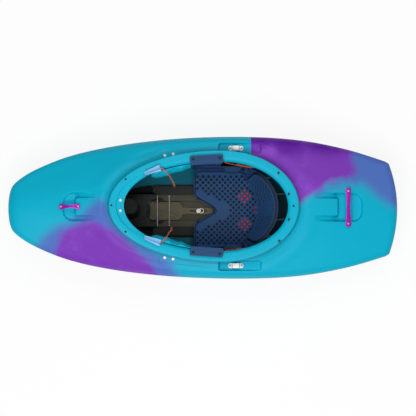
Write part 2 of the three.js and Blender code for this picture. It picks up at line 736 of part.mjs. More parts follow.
function thighBrace() {
  const front = [];
  const back = [];
  for (let i = 0; i <= BRACE_STATIONS; i += 1) {
    const x = BRACE_FRONT + (BRACE_REAR - BRACE_FRONT) * i / BRACE_STATIONS;
    const section = braceSection(x);
    front.push(section.front.map((p) => new THREE.Vector3(x, p.x, p.y)));
    back.push(section.back.map((p) => new THREE.Vector3(x, p.x, p.y)));
  }
  const hook = between(front, back);
  const above = [];
  const below = [];
  for (let i = 0; i <= BRACE_ROWS; i += 1) {
    const x = BRACE_PLATE_REAR + (BRACE_PLATE_FRONT - BRACE_PLATE_REAR) * i / BRACE_ROWS;
    above.push(bracePlateLine(x).map(([y, z]) => new THREE.Vector3(x, y, z)));
    below.push(bracePlateLine(x).map(([y, z]) => new THREE.Vector3(x, y, z - BRACE_WALL)));
  }
  const slots = BRACE_BOLTS.map(([x, y]) => {
    const half = BOLT_RADIUS + BRACE_EASE;
    const long = BRACE_TRAVEL + half;
    const slot = extrudeUp(roundedRect(-long, long, -half, half, half), 0, HEIGHT);
    const place = new THREE.Vector3(0, 0, -WALL - BRACE_EASE - BRACE_WALL / 2).applyMatrix4(deckSeat(x, y));
    return slot.rotateZ(Math.atan(-braceSlideShare)).translate(place.x, place.y, 0);
  });
  return cut(join(hook, between(above, below)), ...slots);
}

// Where a fastener stands on the deck, and how it leans with it.
function deckSeat(x, y, sink = 0) {
  const step = BOLT_HEAD;
  const slopeX = (deckHeight(x + step, y) - deckHeight(x - step, y)) / (2 * step);
  const slopeY = (deckHeight(x, y + step) - deckHeight(x, y - step)) / (2 * step);
  const normal = new THREE.Vector3(-slopeX, -slopeY, 1).normalize();
  const turn = new THREE.Quaternion().setFromUnitVectors(new THREE.Vector3(0, 0, 1), normal);
  const point = new THREE.Vector3(x, y, deckHeight(x, y)).addScaledVector(normal, -sink);
  return new THREE.Matrix4().compose(point, turn, new THREE.Vector3(1, 1, 1));
}

// A through bolt: head on the deck, shank through deck and brace, nut under the brace.
function braceBolt(x, y) {
  const grip = WALL + BRACE_EASE * 2 + BRACE_WALL + CLEARANCE;
  const crown = [
    [0, -BOLT_HEAD_HIGH / 2], [BOLT_HEAD, -BOLT_HEAD_HIGH / 2], [BOLT_HEAD, BOLT_HEAD_HIGH / 2],
    [BOLT_HEAD / 2, BOLT_HEAD_HIGH], [0, BOLT_HEAD_HIGH],
  ].map(([r, z]) => new THREE.Vector2(r, z));
  const shank = [
    [0, -grip - BOLT_TAIL], [BOLT_RADIUS, -grip - BOLT_TAIL], [BOLT_RADIUS, -grip - BOLT_TAIL / 2],
    [BOLT_HEAD, -grip - BOLT_TAIL / 2], [BOLT_HEAD, -grip], [BOLT_RADIUS, -grip],
    [BOLT_RADIUS, BOLT_HEAD_HIGH / 2], [0, BOLT_HEAD_HIGH / 2],
  ].map(([r, z]) => new THREE.Vector2(r, z));
  const seat = deckSeat(x, y, PANEL_DEPTH);
  const head = new THREE.LatheGeometry(crown, 8).rotateX(Math.PI / 2).applyMatrix4(seat);
  const stem = new THREE.LatheGeometry(shank, 8).rotateX(Math.PI / 2).applyMatrix4(seat);
  return join(cut(head, hullBody(-PANEL_DEPTH + CLEARANCE)), stem);
}

function boltHole(x, y) {
  const radius = BOLT_RADIUS + CLEARANCE;
  const drill = new THREE.CylinderGeometry(radius, radius, OVERRUN * 4, 8);
  return drill.rotateX(Math.PI / 2).applyMatrix4(deckSeat(x, y));
}

// Handles at bow and stern
const HANDLE_WIDE = 26;
const HANDLE_SLIM = 12;
const HANDLE_FOOT = 9;
const HANDLE_ARCH = 9;
const STERN_HANDLE_LENGTH = 172;
const STERN_HANDLE_SETBACK = 220;
const STERN_HANDLE_X = STERN_HANDLE_SETBACK - halfLength;
const BOW_HANDLE_LENGTH = 91;
const BOW_HANDLE_SETBACK = 274;
const BOW_HANDLE_X = halfLength - BOW_HANDLE_SETBACK;
const HANDLE_SECTIONS = 9;
const HANDLE_SIDES = 8;
const HANDLE_BOLT_RADIUS = 2.5;
const HANDLE_BOLT_HEAD = 5;
const HANDLE_BOLT_HEAD_HIGH = 2.5;
const HANDLE_BOLT_LONG = 4.5;
const handleBoltShare = 0.42;

// A bow-tie bar, wide over its feet and slim in the arch between them.
function handleBar(length, along, x) {
  const across = new THREE.Vector3(along.y, along.x, 0);
  const up = new THREE.Vector3(0, 0, 1);
  const sections = [];
  for (let i = 0; i < HANDLE_SECTIONS; i += 1) {
    const share = i / (HANDLE_SECTIONS - 1) - 0.5;
    const bend = Math.cos(Math.PI * share) ** 2;
    const halfHigh = (HANDLE_FOOT - bend * HANDLE_BOLT_HEAD_HIGH) / 2;
    const centre = along.clone().multiplyScalar(share * length);
    centre.x += x;
    centre.z = HANDLE_FOOT / 2 + HANDLE_ARCH * bend;
    const halfWide = (HANDLE_WIDE - (HANDLE_WIDE - HANDLE_SLIM) * bend) / 2;
    sections.push({ centre, across, up, halfWide, halfHigh });
  }
  const bar = loftBar(sections, HANDLE_SIDES);
  return drape(bar, (px, py) => deckHeight(px, py));
}

function handleScrewPlace(length, along, x, side) {
  const centre = along.clone().multiplyScalar(side * handleBoltShare * length);
  centre.x += x;
  const share = handleBoltShare;
  const bend = Math.cos(Math.PI * share) ** 2;
  centre.z = deckHeight(centre.x, centre.y) + HANDLE_FOOT + HANDLE_ARCH * bend;
  return centre;
}

function addHandle(name, length, along, x) {
  let bar = cut(handleBar(length, along, x), hullBody(CLEARANCE));
  const places = [-1, 1].map((side) => handleScrewPlace(length, along, x, side));
  const holeDepth = HANDLE_BOLT_LONG + CLEARANCE;
  places.forEach((place) => {
    const head = HANDLE_BOLT_HEAD + CLEARANCE;
    const hole = makeScrew(head, HANDLE_FOOT, HANDLE_BOLT_RADIUS + CLEARANCE, holeDepth);
    bar = cut(bar, hole.translate(place.x, place.y, place.z - HANDLE_BOLT_HEAD_HIGH));
  });
  addPiece(name, bar, looks.anodised);
  places.forEach((place, i) => {
    const screw = makeScrew(HANDLE_BOLT_HEAD, HANDLE_BOLT_HEAD_HIGH, HANDLE_BOLT_RADIUS, HANDLE_BOLT_LONG);
    screw.translate(place.x, place.y, place.z - HANDLE_BOLT_HEAD_HIGH + CLEARANCE);
    addPiece(`${name}_screw_${i + 1}`, screw, looks.steel);
  });
}

// Security bars in the side pockets
const BAR_LENGTH = 67;
const BAR_WIDE = 21;
const BAR_THICK = 3;
const BAR_CLEAR = 12;
const BAR_FOOT = 16;
const BAR_RAMP = 6;
const BAR_INSET = 19;
const BAR_SIDE = POCKET_INNER + BAR_INSET;
const BAR_SCREW_RADIUS = 2.5;
const BAR_SCREW_HEAD = 5.5;
const BAR_SCREW_HIGH = 2.5;
const BAR_SCREW_LONG = 2.5;

function securityBar() {
  const half = BAR_LENGTH / 2;
  const bend = half - BAR_FOOT;
  const top = bend - BAR_RAMP;
  const under = [[-half, 0], [-bend, 0], [-top, BAR_CLEAR], [top, BAR_CLEAR], [bend, 0], [half, 0]];
  const over = [
    [half, BAR_THICK], [bend + BAR_THICK / 2, BAR_THICK], [top + BAR_THICK / 2, BAR_CLEAR + BAR_THICK],
    [-top - BAR_THICK / 2, BAR_CLEAR + BAR_THICK], [-bend - BAR_THICK / 2, BAR_THICK], [-half, BAR_THICK],
  ];
  const strap = extrudeAcross(polygon([...under, ...over]), -BAR_WIDE / 2, BAR_WIDE / 2);
  const ends = roundedRect(-half, half, -BAR_WIDE / 2, BAR_WIDE / 2, BAR_WIDE / 2);
  const outline = extrudeUp(ends, -OVERRUN, OVERRUN * 3);
  const screwX = half - BAR_FOOT / 2;
  const holeRadius = BAR_SCREW_RADIUS + CLEARANCE;
  const holes = [-screwX, screwX].map((x) => makeShaft(holeRadius, -OVERRUN, OVERRUN, 8).translate(x, 0, 0));
  return cut(common(strap, outline), ...holes).translate(BAR_X, BAR_SIDE, pocketFloor + CLEARANCE);
}

function barScrew(side) {
  const screw = makeScrew(BAR_SCREW_HEAD, BAR_SCREW_HIGH, BAR_SCREW_RADIUS, BAR_SCREW_LONG);
  const x = BAR_X + side * (BAR_LENGTH / 2 - BAR_FOOT / 2);
  return screw.translate(x, BAR_SIDE, pocketFloor + BAR_THICK + CLEARANCE * 2);
}

// Seat: a moulded bowl between two side plates, with a perforated pad on it
const SEAT_FRONT = 41;
const SEAT_ARC_CENTRE = -150;
const SEAT_REAR = 112;
const SEAT_GAP = 1;
const HANGER_OVERHANG = 15;
const HANGER_INNER = RIM_HALF_WIDTH - MOUTH_INSET - HANGER_OVERHANG;
const SEAT_HALF = HANGER_INNER - SEAT_GAP;
const SEAT_LOW = 38;
const SEAT_SIDE_WIDE = 89;
const SEAT_FLAT_HALF = SEAT_HALF - SEAT_SIDE_WIDE;
const SEAT_SIDE_RISE = 66;
const SEAT_REAR_START = -170;
const SEAT_REAR_RISE = 44;
const SEAT_FRONT_START = -20;
const SEAT_FRONT_RISE = 7;
const SEAT_WALL = 4;
const SEAT_NOTCH_X = -46;
const SEAT_NOTCH_HALF = 44;
const SEAT_NOTCH_ROUND = 11;
const SEAT_CORNER = 26;
const SEAT_GRID_X = 10;
const SEAT_GRID_Y = 14;
const PAD_SHY = 13;
const PAD_HALF = SEAT_HALF - PAD_SHY;
const PAD_THICK = 11;
const PAD_MARGIN = 5;
const PAD_HOLE = 6;
const PAD_PITCH = 46;

function seatHeight(x, y) {
  const side = Math.max(0, Math.abs(y) - SEAT_FLAT_HALF) / (SEAT_HALF - SEAT_FLAT_HALF);
  const rear = Math.max(0, SEAT_REAR_START - x) / (SEAT_REAR_START - SEAT_ARC_CENTRE + SEAT_REAR);
  const front = Math.max(0, x - SEAT_FRONT_START) / (SEAT_FRONT - SEAT_FRONT_START);
  return SEAT_LOW + SEAT_SIDE_RISE * side ** 2 + SEAT_REAR_RISE * rear ** 2 + SEAT_FRONT_RISE * front ** 2;
}

function seatShape(margin, half) {
  const front = SEAT_FRONT - margin;
  const shape = new THREE.Shape();
  const reach = SEAT_REAR - margin;
  shape.moveTo(SEAT_NOTCH_X - margin, -SEAT_NOTCH_ROUND);
  const notch = SEAT_NOTCH_HALF + margin;
  shape.lineTo(front - SEAT_CORNER, -notch);
  shape.quadraticCurveTo(front, -notch - SEAT_CORNER / 2, front, -notch - SEAT_CORNER);
  shape.lineTo(front, -half + SEAT_CORNER);
  shape.quadraticCurveTo(front, -half, front - SEAT_CORNER, -half);
  shape.lineTo(SEAT_ARC_CENTRE, -half);
  shape.absellipse(SEAT_ARC_CENTRE, 0, reach, half, Math.PI * 1.5, Math.PI / 2, true, 0);
  shape.lineTo(front - SEAT_CORNER, half);
  shape.quadraticCurveTo(front, half, front, half - SEAT_CORNER);
  shape.lineTo(front, notch + SEAT_CORNER);
  shape.quadraticCurveTo(front, notch + SEAT_CORNER / 2, front - SEAT_CORNER, notch);
  const tip = SEAT_NOTCH_X - margin;
  shape.lineTo(tip, SEAT_NOTCH_ROUND);
  shape.quadraticCurveTo(tip - SEAT_NOTCH_ROUND, 0, tip, -SEAT_NOTCH_ROUND);
  return shape;
}

function seatLayer(base, thick) {
  const x0 = SEAT_FRONT + OVERRUN;
  const x1 = SEAT_ARC_CENTRE - SEAT_REAR - OVERRUN;
  const top = [];
  const low = [];
  for (let i = 0; i <= SEAT_GRID_X; i += 1) {
    const x = x0 + (x1 - x0) * i / SEAT_GRID_X;
    top.push([]);
    low.push([]);
    for (let j = 0; j <= SEAT_GRID_Y; j += 1) {
      const y = (SEAT_HALF + OVERRUN) * (2 * j / SEAT_GRID_Y - 1);
      top[i].push(new THREE.Vector3(x, y, seatHeight(x, y) + base + thick));
      low[i].push(new THREE.Vector3(x, y, seatHeight(x, y) + base));
    }
  }
  return between(top, low);
}

// Side plates carry the bowl, the hip pads and the pivots of the backband.
const PLATE_THICK = 4;
const PLATE_PROUD = 2.7;
const PLATE_OUTER = SEAT_HALF + PLATE_PROUD;
const PLATE_LOW = 70;
const PLATE_FRONT = 47;
const PLATE_REAR = -206;
const PLATE_FRONT_TOP = 168;
const PLATE_TOP = 202;
const PIVOT_X = -192;
const PIVOT_Z = 150;
const PIVOT_RADIUS = 4;
const PIVOT_EYE = 12;
const PIVOT_LONG = 14;

function sidePlate() {
  const shape = new THREE.Shape();
  shape.moveTo(PLATE_FRONT, PLATE_LOW);
  shape.lineTo(PLATE_FRONT, PLATE_FRONT_TOP);
  shape.quadraticCurveTo(PLATE_FRONT - SEAT_CORNER, PLATE_TOP, PLATE_FRONT - SEAT_CORNER * 2, PLATE_TOP);
  shape.lineTo(PIVOT_X + SEAT_CORNER * 2, PLATE_TOP);
  shape.quadraticCurveTo(PIVOT_X + SEAT_CORNER, PLATE_TOP, PLATE_REAR, PIVOT_Z + PIVOT_EYE);
  shape.lineTo(PLATE_REAR, PLATE_LOW);
  const plate = extrudeAcross(shape, PLATE_OUTER - PLATE_THICK, PLATE_OUTER);
  const hole = new THREE.CylinderGeometry(PIVOT_RADIUS + CLEARANCE, PIVOT_RADIUS + CLEARANCE, SEAT_HALF, 10);
  return cut(plate, hole.translate(PIVOT_X, PLATE_OUTER, PIVOT_Z));
}

function seatPan() {
  const bowl = common(seatLayer(0, SEAT_WALL), extrudeUp(seatShape(0, SEAT_HALF), 0, HEIGHT));
  const plate = sidePlate();
  return join(bowl, plate, mirrorSide(plate));
}

// Holes of the pad lie on a diamond grid, clear of its edges and of the plain centre.
const PAD_PLAIN_HALF = 34;
const PAD_PLAIN_REAR = -92;
const PAD_EDGE = 14;

function padHoles() {
  const holes = [];
  const rows = Math.ceil((SEAT_FRONT - SEAT_ARC_CENTRE + SEAT_REAR) / PAD_PITCH) * 2;
  for (let i = 0; i <= rows; i += 1) {
    const x = SEAT_FRONT - PAD_EDGE - i * PAD_PITCH / 2;
    const shift = (i % 2) * PAD_PITCH / 2;
    for (let y = -PAD_HALF + PAD_EDGE + shift; y <= PAD_HALF - PAD_EDGE; y += PAD_PITCH) {
      const plain = Math.abs(y) < PAD_PLAIN_HALF + Math.max(0, x - SEAT_NOTCH_X) / 2 && x > PAD_PLAIN_REAR;
      const over = (x - SEAT_ARC_CENTRE) / (SEAT_REAR - PAD_EDGE);
      const inside = x > SEAT_ARC_CENTRE || over ** 2 + (y / (PAD_HALF - PAD_EDGE)) ** 2 < 1;
      if (!plain && inside) {
        const hole = new THREE.CylinderGeometry(PAD_HOLE, PAD_HOLE, HEIGHT, 4);
        holes.push(hole.rotateX(Math.PI / 2).translate(x, y, SEAT_LOW));
      }
    }
  }
  return holes;
}

function seatPad() {
  const base = SEAT_WALL + CLEARANCE;
  const half = PAD_HALF;
  const layer = common(seatLayer(base, PAD_THICK), extrudeUp(seatShape(PAD_MARGIN, half), 0, HEIGHT));
  const plain = padHoles().map((g) => g.deleteAttribute('normal').deleteAttribute('uv'));
  const merged = BufferGeometryUtils.mergeGeometries(plain);
  return cut(layer, merged);
}

// Hip pads inside the side plates
const HIP_FRONT = -92;
const HIP_REAR = -170;
const HIP_LOW = 112;
const HIP_HIGH = 194;
const HIP_THICK = 24;
const HIP_CROWN = 5;
const HIP_STEPS = 5;

function hipPad() {
  const outer = PLATE_OUTER - PLATE_THICK - CLEARANCE;
  const front = [];
  const back = [];
  for (let i = 0; i <= HIP_STEPS; i += 1) {
    const x = HIP_FRONT + (HIP_REAR - HIP_FRONT) * i / HIP_STEPS;
    front.push([]);
    back.push([]);
    for (let j = 0; j <= HIP_STEPS; j += 1) {
      const z = HIP_LOW + (HIP_HIGH - HIP_LOW) * j / HIP_STEPS;
      const u = 2 * i / HIP_STEPS - 1;
      const v = 2 * j / HIP_STEPS - 1;
      const fall = HIP_THICK / 2 * (u ** 4 + v ** 4) / 2 + HIP_CROWN * (u ** 2 + v ** 2) / 2;
      front[i].push(new THREE.Vector3(x, outer - HIP_THICK + fall, z));
      back[i].push(new THREE.Vector3(x, outer, z));
    }
  }
  return between(front, back);
}

// Seat hangers: a bar on the rim and a web down to the side plate
const HANGER_X = -16;
const HANGER_LENGTH = 146;
const HANGER_WIDE = 40;
const HANGER_OUTER = HANGER_INNER + HANGER_WIDE;
const HANGER_HIGH = 12;
const HANGER_ROUND = 9;
const HANGER_TURN = 3.5 * Math.PI / 180;
const WEB_THICK = 4;
const WEB_FRONT = 44;
const WEB_REAR = -78;
const WEB_LOW = 132;
const HANGER_SCREWS = [[58, 5], [-58, 5]];
const SCREW_RADIUS = 3;
const SCREW_HEAD = 6;
const SCREW_HIGH = 3;
const SCREW_LONG = 8;

function rimLean(x) {
  return rimTop(x, (HANGER_INNER + HANGER_OUTER) / 2) - rimHeight(HANGER_X);
}

function seatHanger() {
  const half = HANGER_LENGTH / 2;
  const middle = (HANGER_INNER + HANGER_OUTER) / 2;
  const wide = (HANGER_OUTER - HANGER_INNER) / 2;
  const low = rimHeight(HANGER_X) + CLEARANCE * 2;
  const bar = extrudeUp(roundedRect(-half, half, -wide, wide, HANGER_ROUND), low, low + HANGER_HIGH);
  bar.rotateZ(-HANGER_TURN).translate(HANGER_X, middle, 0);
  drape(bar, (x) => rimLean(x));
  const inner = PLATE_OUTER + CLEARANCE;
  const web = new THREE.Shape();
  web.moveTo(WEB_REAR, WEB_LOW + HANGER_ROUND);
  web.lineTo(WEB_REAR, low + rimLean(WEB_REAR) + HANGER_HIGH / 2);
  web.lineTo(WEB_FRONT, low + rimLean(WEB_FRONT) + HANGER_HIGH / 2);
  web.lineTo(WEB_FRONT, WEB_LOW + HANGER_ROUND * 3);
  web.quadraticCurveTo(WEB_FRONT, WEB_LOW, WEB_FRONT - HANGER_ROUND * 3, WEB_LOW);
  web.lineTo(WEB_REAR + HANGER_ROUND, WEB_LOW);
  const plate = extrudeAcross(web, inner, inner + WEB_THICK);
  const holeDepth = SCREW_LONG + CLEARANCE;
  const hole = makeScrew(SCREW_HEAD + CLEARANCE, SCREW_HIGH * 2, SCREW_RADIUS + CLEARANCE, holeDepth);
  const holes = hangerScrewPlaces().map((p) => hole.clone().translate(p.x, p.y, p.z - CLEARANCE));
  return cut(join(bar, plate), ...holes);
}

function hangerScrewPlaces() {
  const middle = (HANGER_INNER + HANGER_OUTER) / 2;
  return HANGER_SCREWS.map(([along, out]) => {
    const p = new THREE.Vector2(along, out).rotateAround(new THREE.Vector2(0, 0), -HANGER_TURN);
    const x = HANGER_X + p.x;
    const top = rimHeight(HANGER_X) + CLEARANCE * 2 + HANGER_HIGH + rimLean(x);
    return new THREE.Vector3(x, middle + p.y, top - SCREW_HIGH / 2);
  });
}

// Backband: a perforated pad on a moulded band that leans back round the paddler
const BAND_REACH_LOW = 97;
const BAND_SHY_LOW = 31;
const BAND_SHY_TOP = 1;
const BAND_HALF_LOW = SEAT_HALF - BAND_SHY_LOW;
const BAND_REACH_TOP = 178;
const BAND_HALF_TOP = SEAT_HALF - BAND_SHY_TOP;
const BAND_LOW = 97;
const BAND_END_LOW = 128;
const BAND_TOP = 240;
const BAND_END_TOP = 190;
const BAND_WALL = 4;
const BAND_PAD = 12;
const BAND_SWEEP = 72 * Math.PI / 180;
const BAND_STEPS = 16;
const BAND_ROWS = 4;

function bandPoint(sweepShare, riseShare, out) {
  const angle = BAND_SWEEP * sweepShare;
  const reach = BAND_REACH_LOW + (BAND_REACH_TOP - BAND_REACH_LOW) * riseShare;
  const half = BAND_HALF_LOW + (BAND_HALF_TOP - BAND_HALF_LOW) * riseShare;
  const end = sweepShare ** 4;
  const low = BAND_LOW + (BAND_END_LOW - BAND_LOW) * end;
  const top = BAND_TOP + (BAND_END_TOP - BAND_TOP) * end;
  return new THREE.Vector3(
    SEAT_ARC_CENTRE - (reach + out) * Math.cos(angle),
    (half + out) * Math.sin(angle),
    low + (top - low) * riseShare,
  );
}

function bandLayer(from, to, trim = 0) {
  const front = [];
  const back = [];
  for (let i = trim; i <= BAND_STEPS - trim; i += 1) {
    const sweep = 2 * i / BAND_STEPS - 1;
    const rises = Array.from({ length: BAND_ROWS + 1 }, (_, j) => j / BAND_ROWS);
    front.push(rises.map((rise) => bandPoint(sweep, rise, from)));
    back.push(rises.map((rise) => bandPoint(sweep, rise, to)));
  }
  return between(front, back);
}

// Arms join the ends of the band to its pivots.
const ARM_OUTER = PLATE_OUTER - PLATE_THICK - CLEARANCE;
function backbandPlate() {
  const band = bandLayer(0, BAND_WALL);
  const end = bandPoint(1, 0.5, BAND_WALL);
  const arm = new THREE.Shape();
  arm.absarc(PIVOT_X, PIVOT_Z, PIVOT_EYE, -Math.PI / 2, Math.PI / 2, false);
  arm.lineTo(end.x - BAND_PAD, PIVOT_Z + PIVOT_EYE);
  arm.lineTo(end.x - BAND_PAD, PIVOT_Z - PIVOT_EYE);
  const inner = bandPoint(1, 0.5, 0).y + CLEARANCE;
  const armSolid = extrudeAcross(arm, inner, ARM_OUTER);
  const deep = PIVOT_LONG + CLEARANCE;
  const hole = new THREE.CylinderGeometry(PIVOT_RADIUS + CLEARANCE, PIVOT_RADIUS + CLEARANCE, deep * 2, 10);
  const drilled = cut(armSolid, hole.translate(PIVOT_X, ARM_OUTER, PIVOT_Z));
  return join(band, drilled, mirrorSide(drilled));
}

const backbandPad = () => bandLayer(-BAND_PAD - CLEARANCE, -CLEARANCE, 1);

function pivotBolt() {
  const inner = ARM_OUTER - PIVOT_LONG;
  const outer = PLATE_OUTER + CLEARANCE;
  const profile = [
    [0, inner], [PIVOT_RADIUS, inner], [PIVOT_RADIUS, outer], [BOLT_HEAD, outer],
    [BOLT_HEAD, outer + BOLT_HEAD_HIGH], [0, outer + BOLT_HEAD_HIGH],
  ].map(([r, y]) => new THREE.Vector2(r, y));
  return new THREE.LatheGeometry(profile, 10).translate(PIVOT_X, 0, PIVOT_Z);
}

// Floor tray with a channel for the footrest's bar
const FLOOR = WALL + CLEARANCE;
const TRAY_REAR = -60;
const TRAY_FRONT = 225;
const TRAY_HALF = 73;
const TRAY_TOP = 24;
const TRAY_BED = 10;
const CHANNEL_HALF = 44;
const CHANNEL_EDGE = 4;
const FOAM_OUTER = 112;
const FOAM_TOP = 21;
const FOAM_ROUND = 14;
const FRONT_PLATE_REAR = 207;
const FRONT_PLATE_FRONT = 350;
const FRONT_PLATE_LOW = 36;
const FRONT_PLATE_THICK = 4;
const FRONT_LEG = 13;
const FRONT_NOTCH_HALF = 40;
const FRONT_NOTCH_REAR = 283;

const room = hullBody(-WALL - CLEARANCE);

function floorTray() {
  const outline = roundedRect(TRAY_REAR, TRAY_FRONT, -TRAY_HALF, TRAY_HALF, FOAM_ROUND / 2);
  const body = extrudeUp(outline, FLOOR, TRAY_TOP);
  const far = TRAY_FRONT + OVERRUN;
  const flareHalf = FORK_OUTER + CHANNEL_EDGE;
  const flareStart = TRAY_FRONT - FOOTREST_TRAVEL - CHANNEL_EDGE;
  const flareEnd = flareStart - (flareHalf - CHANNEL_HALF);
  const bed = polygon([
    [TRAY_REAR - OVERRUN, -CHANNEL_HALF], [flareEnd, -CHANNEL_HALF],
    [flareStart, -flareHalf], [far, -flareHalf], [far, flareHalf], [flareStart, flareHalf],
    [flareEnd, CHANNEL_HALF], [TRAY_REAR - OVERRUN, CHANNEL_HALF],
  ]);
  const channel = extrudeUp(bed, TRAY_BED, TRAY_TOP + OVERRUN);
  const hole = makeShaft(ADJUSTER_RADIUS + CLEARANCE, TRAY_BED - ADJUSTER_SINK, TRAY_TOP, 12);
  return cut(body, channel, hole.translate(ADJUSTER_X, 0, 0));
}

function floorFoam() {
  const inner = TRAY_HALF + CLEARANCE;
  return extrudeUp(roundedRect(TRAY_REAR, TRAY_FRONT, inner, FOAM_OUTER, FOAM_ROUND), FLOOR, FOAM_TOP);
}

// Raised plate in front of the tray, on two side legs, notched round the pillar's foot
function frontPlate() {
  const top = FRONT_PLATE_LOW + FRONT_PLATE_THICK;
  const sheet = extrudeUp(
    roundedRect(FRONT_PLATE_REAR, FRONT_PLATE_FRONT, -TRAY_HALF, TRAY_HALF, FOAM_ROUND / 2),
    FRONT_PLATE_LOW,
    top,
  );
  const notch = roundedRect(
    FRONT_NOTCH_REAR,
    FRONT_PLATE_FRONT + FRONT_NOTCH_HALF * 2,
    -FRONT_NOTCH_HALF,
    FRONT_NOTCH_HALF,
    FRONT_NOTCH_HALF,
  );
  const inner = TRAY_HALF - FRONT_LEG;
  const legFront = FRONT_PLATE_FRONT - FRONT_LEG;
  const leg = extrudeUp(roundedRect(TRAY_FRONT + FRONT_LEG, legFront, inner, TRAY_HALF, 0), -OVERRUN, top);
  const seated = common(leg, room);
  return join(cut(sheet, extrudeUp(notch, 0, HEIGHT)), seated, mirrorSide(seated));
}

// Footrest: a slotted slider hooked to a frame, whose fork rises with the hull, and two upright plates
const BAR_LOW = TRAY_BED + CLEARANCE;
const BAR_TOP = 16;
const BAR_HALF = 40;
const BAR_WIDE_REAR = 94;
const STEM_HALF = 15;
const STEM_REAR = -44;
const SLIDER_FRONT = 74;
const HOOK_LONG = 9;
const HOOK_SLIM = 5;
const HOOK_WIDE = 8;
const FORK_START = 235;
const FORK_INNER = 38;
const FORK_OUTER = 56;
const FORK_END = 450;
const forkRiseShare = 0.12;
const FOOTREST_TRAVEL = 35;
const ADJUSTER_X = 20;
const ADJUSTER_RADIUS = 3;
const ADJUSTER_SINK = 3;
const SLOT_EASE = 1.2;
const FOOT_PLATE_THICK = 6;
const FOOT_PLATE_OUTER = 150;
const FOOT_PLATE_TOP = 222;
const FOOT_PLATE_ROUND = 24;

// Dovetail that hooks the slider into the frame, grown by the clearance where it is cut out
function sliderHook(grow) {
  const tip = SLIDER_FRONT + HOOK_LONG + grow;
  return polygon([
    [SLIDER_FRONT - STEM_HALF / 2, -HOOK_SLIM - grow], [SLIDER_FRONT + grow, -HOOK_SLIM - grow],
    [tip, -HOOK_WIDE - grow], [tip, HOOK_WIDE + grow],
    [SLIDER_FRONT + grow, HOOK_SLIM + grow], [SLIDER_FRONT - STEM_HALF / 2, HOOK_SLIM + grow],
  ]);
}

function footrestSlider() {
  const plate = roundedRect(STEM_REAR, SLIDER_FRONT, -STEM_HALF, STEM_HALF, STEM_HALF / 2);
  const slotHalf = ADJUSTER_RADIUS + SLOT_EASE;
  const reach = FOOTREST_TRAVEL + slotHalf;
  const shape = polygon([
    [ADJUSTER_X - reach, -slotHalf], [ADJUSTER_X + reach, -slotHalf],
    [ADJUSTER_X + reach, slotHalf], [ADJUSTER_X - reach, slotHalf],
  ]);
  const body = join(extrudeUp(plate, BAR_LOW, BAR_TOP), extrudeUp(sliderHook(0), BAR_LOW, BAR_TOP));
  return cut(body, extrudeUp(shape, 0, HEIGHT));
}

function footrestFrame() {
  const rear = SLIDER_FRONT + CLEARANCE;
  const stem = roundedRect(rear, BAR_WIDE_REAR + OVERRUN, -STEM_HALF, STEM_HALF, CLEARANCE);
  const wide = polygon([
    [BAR_WIDE_REAR, -BAR_HALF + STEM_HALF], [BAR_WIDE_REAR + STEM_HALF, -BAR_HALF],
    [FORK_START, -BAR_HALF], [FORK_START, BAR_HALF],
    [BAR_WIDE_REAR + STEM_HALF, BAR_HALF], [BAR_WIDE_REAR, BAR_HALF - STEM_HALF],
  ]);
  const arms = [-1, 1].map((side) => {
    const a = side * FORK_INNER;
    const b = side * FORK_OUTER;
    const flare = side * BAR_HALF / 2;
    return extrudeUp(polygon([
      [FORK_START - STEM_HALF, flare], [FORK_START - STEM_HALF, side * BAR_HALF],
      [FORK_START + STEM_HALF, b], [FORK_END, b], [FORK_END, a], [FORK_START + STEM_HALF, a],
      [FORK_START, flare],
    ]), BAR_LOW, BAR_TOP);
  });
  const flat = join(extrudeUp(stem, BAR_LOW, BAR_TOP), extrudeUp(wide, BAR_LOW, BAR_TOP), ...arms);
  const frame = cut(flat, extrudeUp(sliderHook(CLEARANCE), 0, HEIGHT));
  return drape(frame, (x) => Math.max(0, x - FORK_START - STEM_HALF) * forkRiseShare);
}

const forkLift = (FORK_END - FORK_START - STEM_HALF) * forkRiseShare;

function footPlate() {
  const low = BAR_LOW + forkLift;
  const shape = roundedRect(FORK_INNER, FOOT_PLATE_OUTER, low, FOOT_PLATE_TOP, FOOT_PLATE_ROUND);
  const plate = extrudeAcross(shape, 0, FOOT_PLATE_THICK);
  plate.rotateZ(Math.PI / 2).translate(FORK_END + CLEARANCE + FOOT_PLATE_THICK, 0, 0);
  return common(plate, room);
}

// Adjuster: a screw with a washer, and a flat ring forged to its head that turns it
const WASHER_LOW = BAR_TOP + CLEARANCE;
const WASHER_THICK = 3;
const WASHER_RADIUS = 10;
const BOSS_RADIUS = 4.5;
const BOSS_HIGH = 8;
const RING_RADIUS = 10;
const RING_WIRE = 1.7;

function adjusterScrew() {
  const top = WASHER_LOW + WASHER_THICK;
  const washer = makeShaft(WASHER_RADIUS, WASHER_LOW, top, 14);
  const shank = makeShaft(ADJUSTER_RADIUS, TRAY_BED - ADJUSTER_SINK + CLEARANCE, top, 12);
  const boss = makeShaft(BOSS_RADIUS, WASHER_LOW, top + BOSS_HIGH, 12);
  const ring = new THREE.TorusGeometry(RING_RADIUS, RING_WIRE, 6, 16);
  ring.translate(-RING_RADIUS - BOSS_RADIUS / 2, 0, top + BOSS_HIGH / 2);
  return join(washer, shank, boss, ring).translate(ADJUSTER_X, 0, 0);
}

function makeShaft(radius, low, high, sides) {
  const shaft = new THREE.CylinderGeometry(radius, radius, high - low, sides);
  return shaft.rotateX(Math.PI / 2).translate(0, 0, (low + high) / 2);
}

// Foam pillars between bottom and deck
const PILLAR_HALF = 33;
const BOW_PILLAR_REAR = 287;
const BOW_PILLAR_SETBACK = 200;
const BOW_PILLAR_FRONT = halfLength - BOW_PILLAR_SETBACK;
const STERN_PILLAR_HALF = 30;
const STERN_PILLAR_FRONT = -402;
const STERN_PILLAR_SETBACK = 140;
const STERN_PILLAR_REAR = STERN_PILLAR_SETBACK - halfLength;
const PILLAR_TOP_SINK = 44;

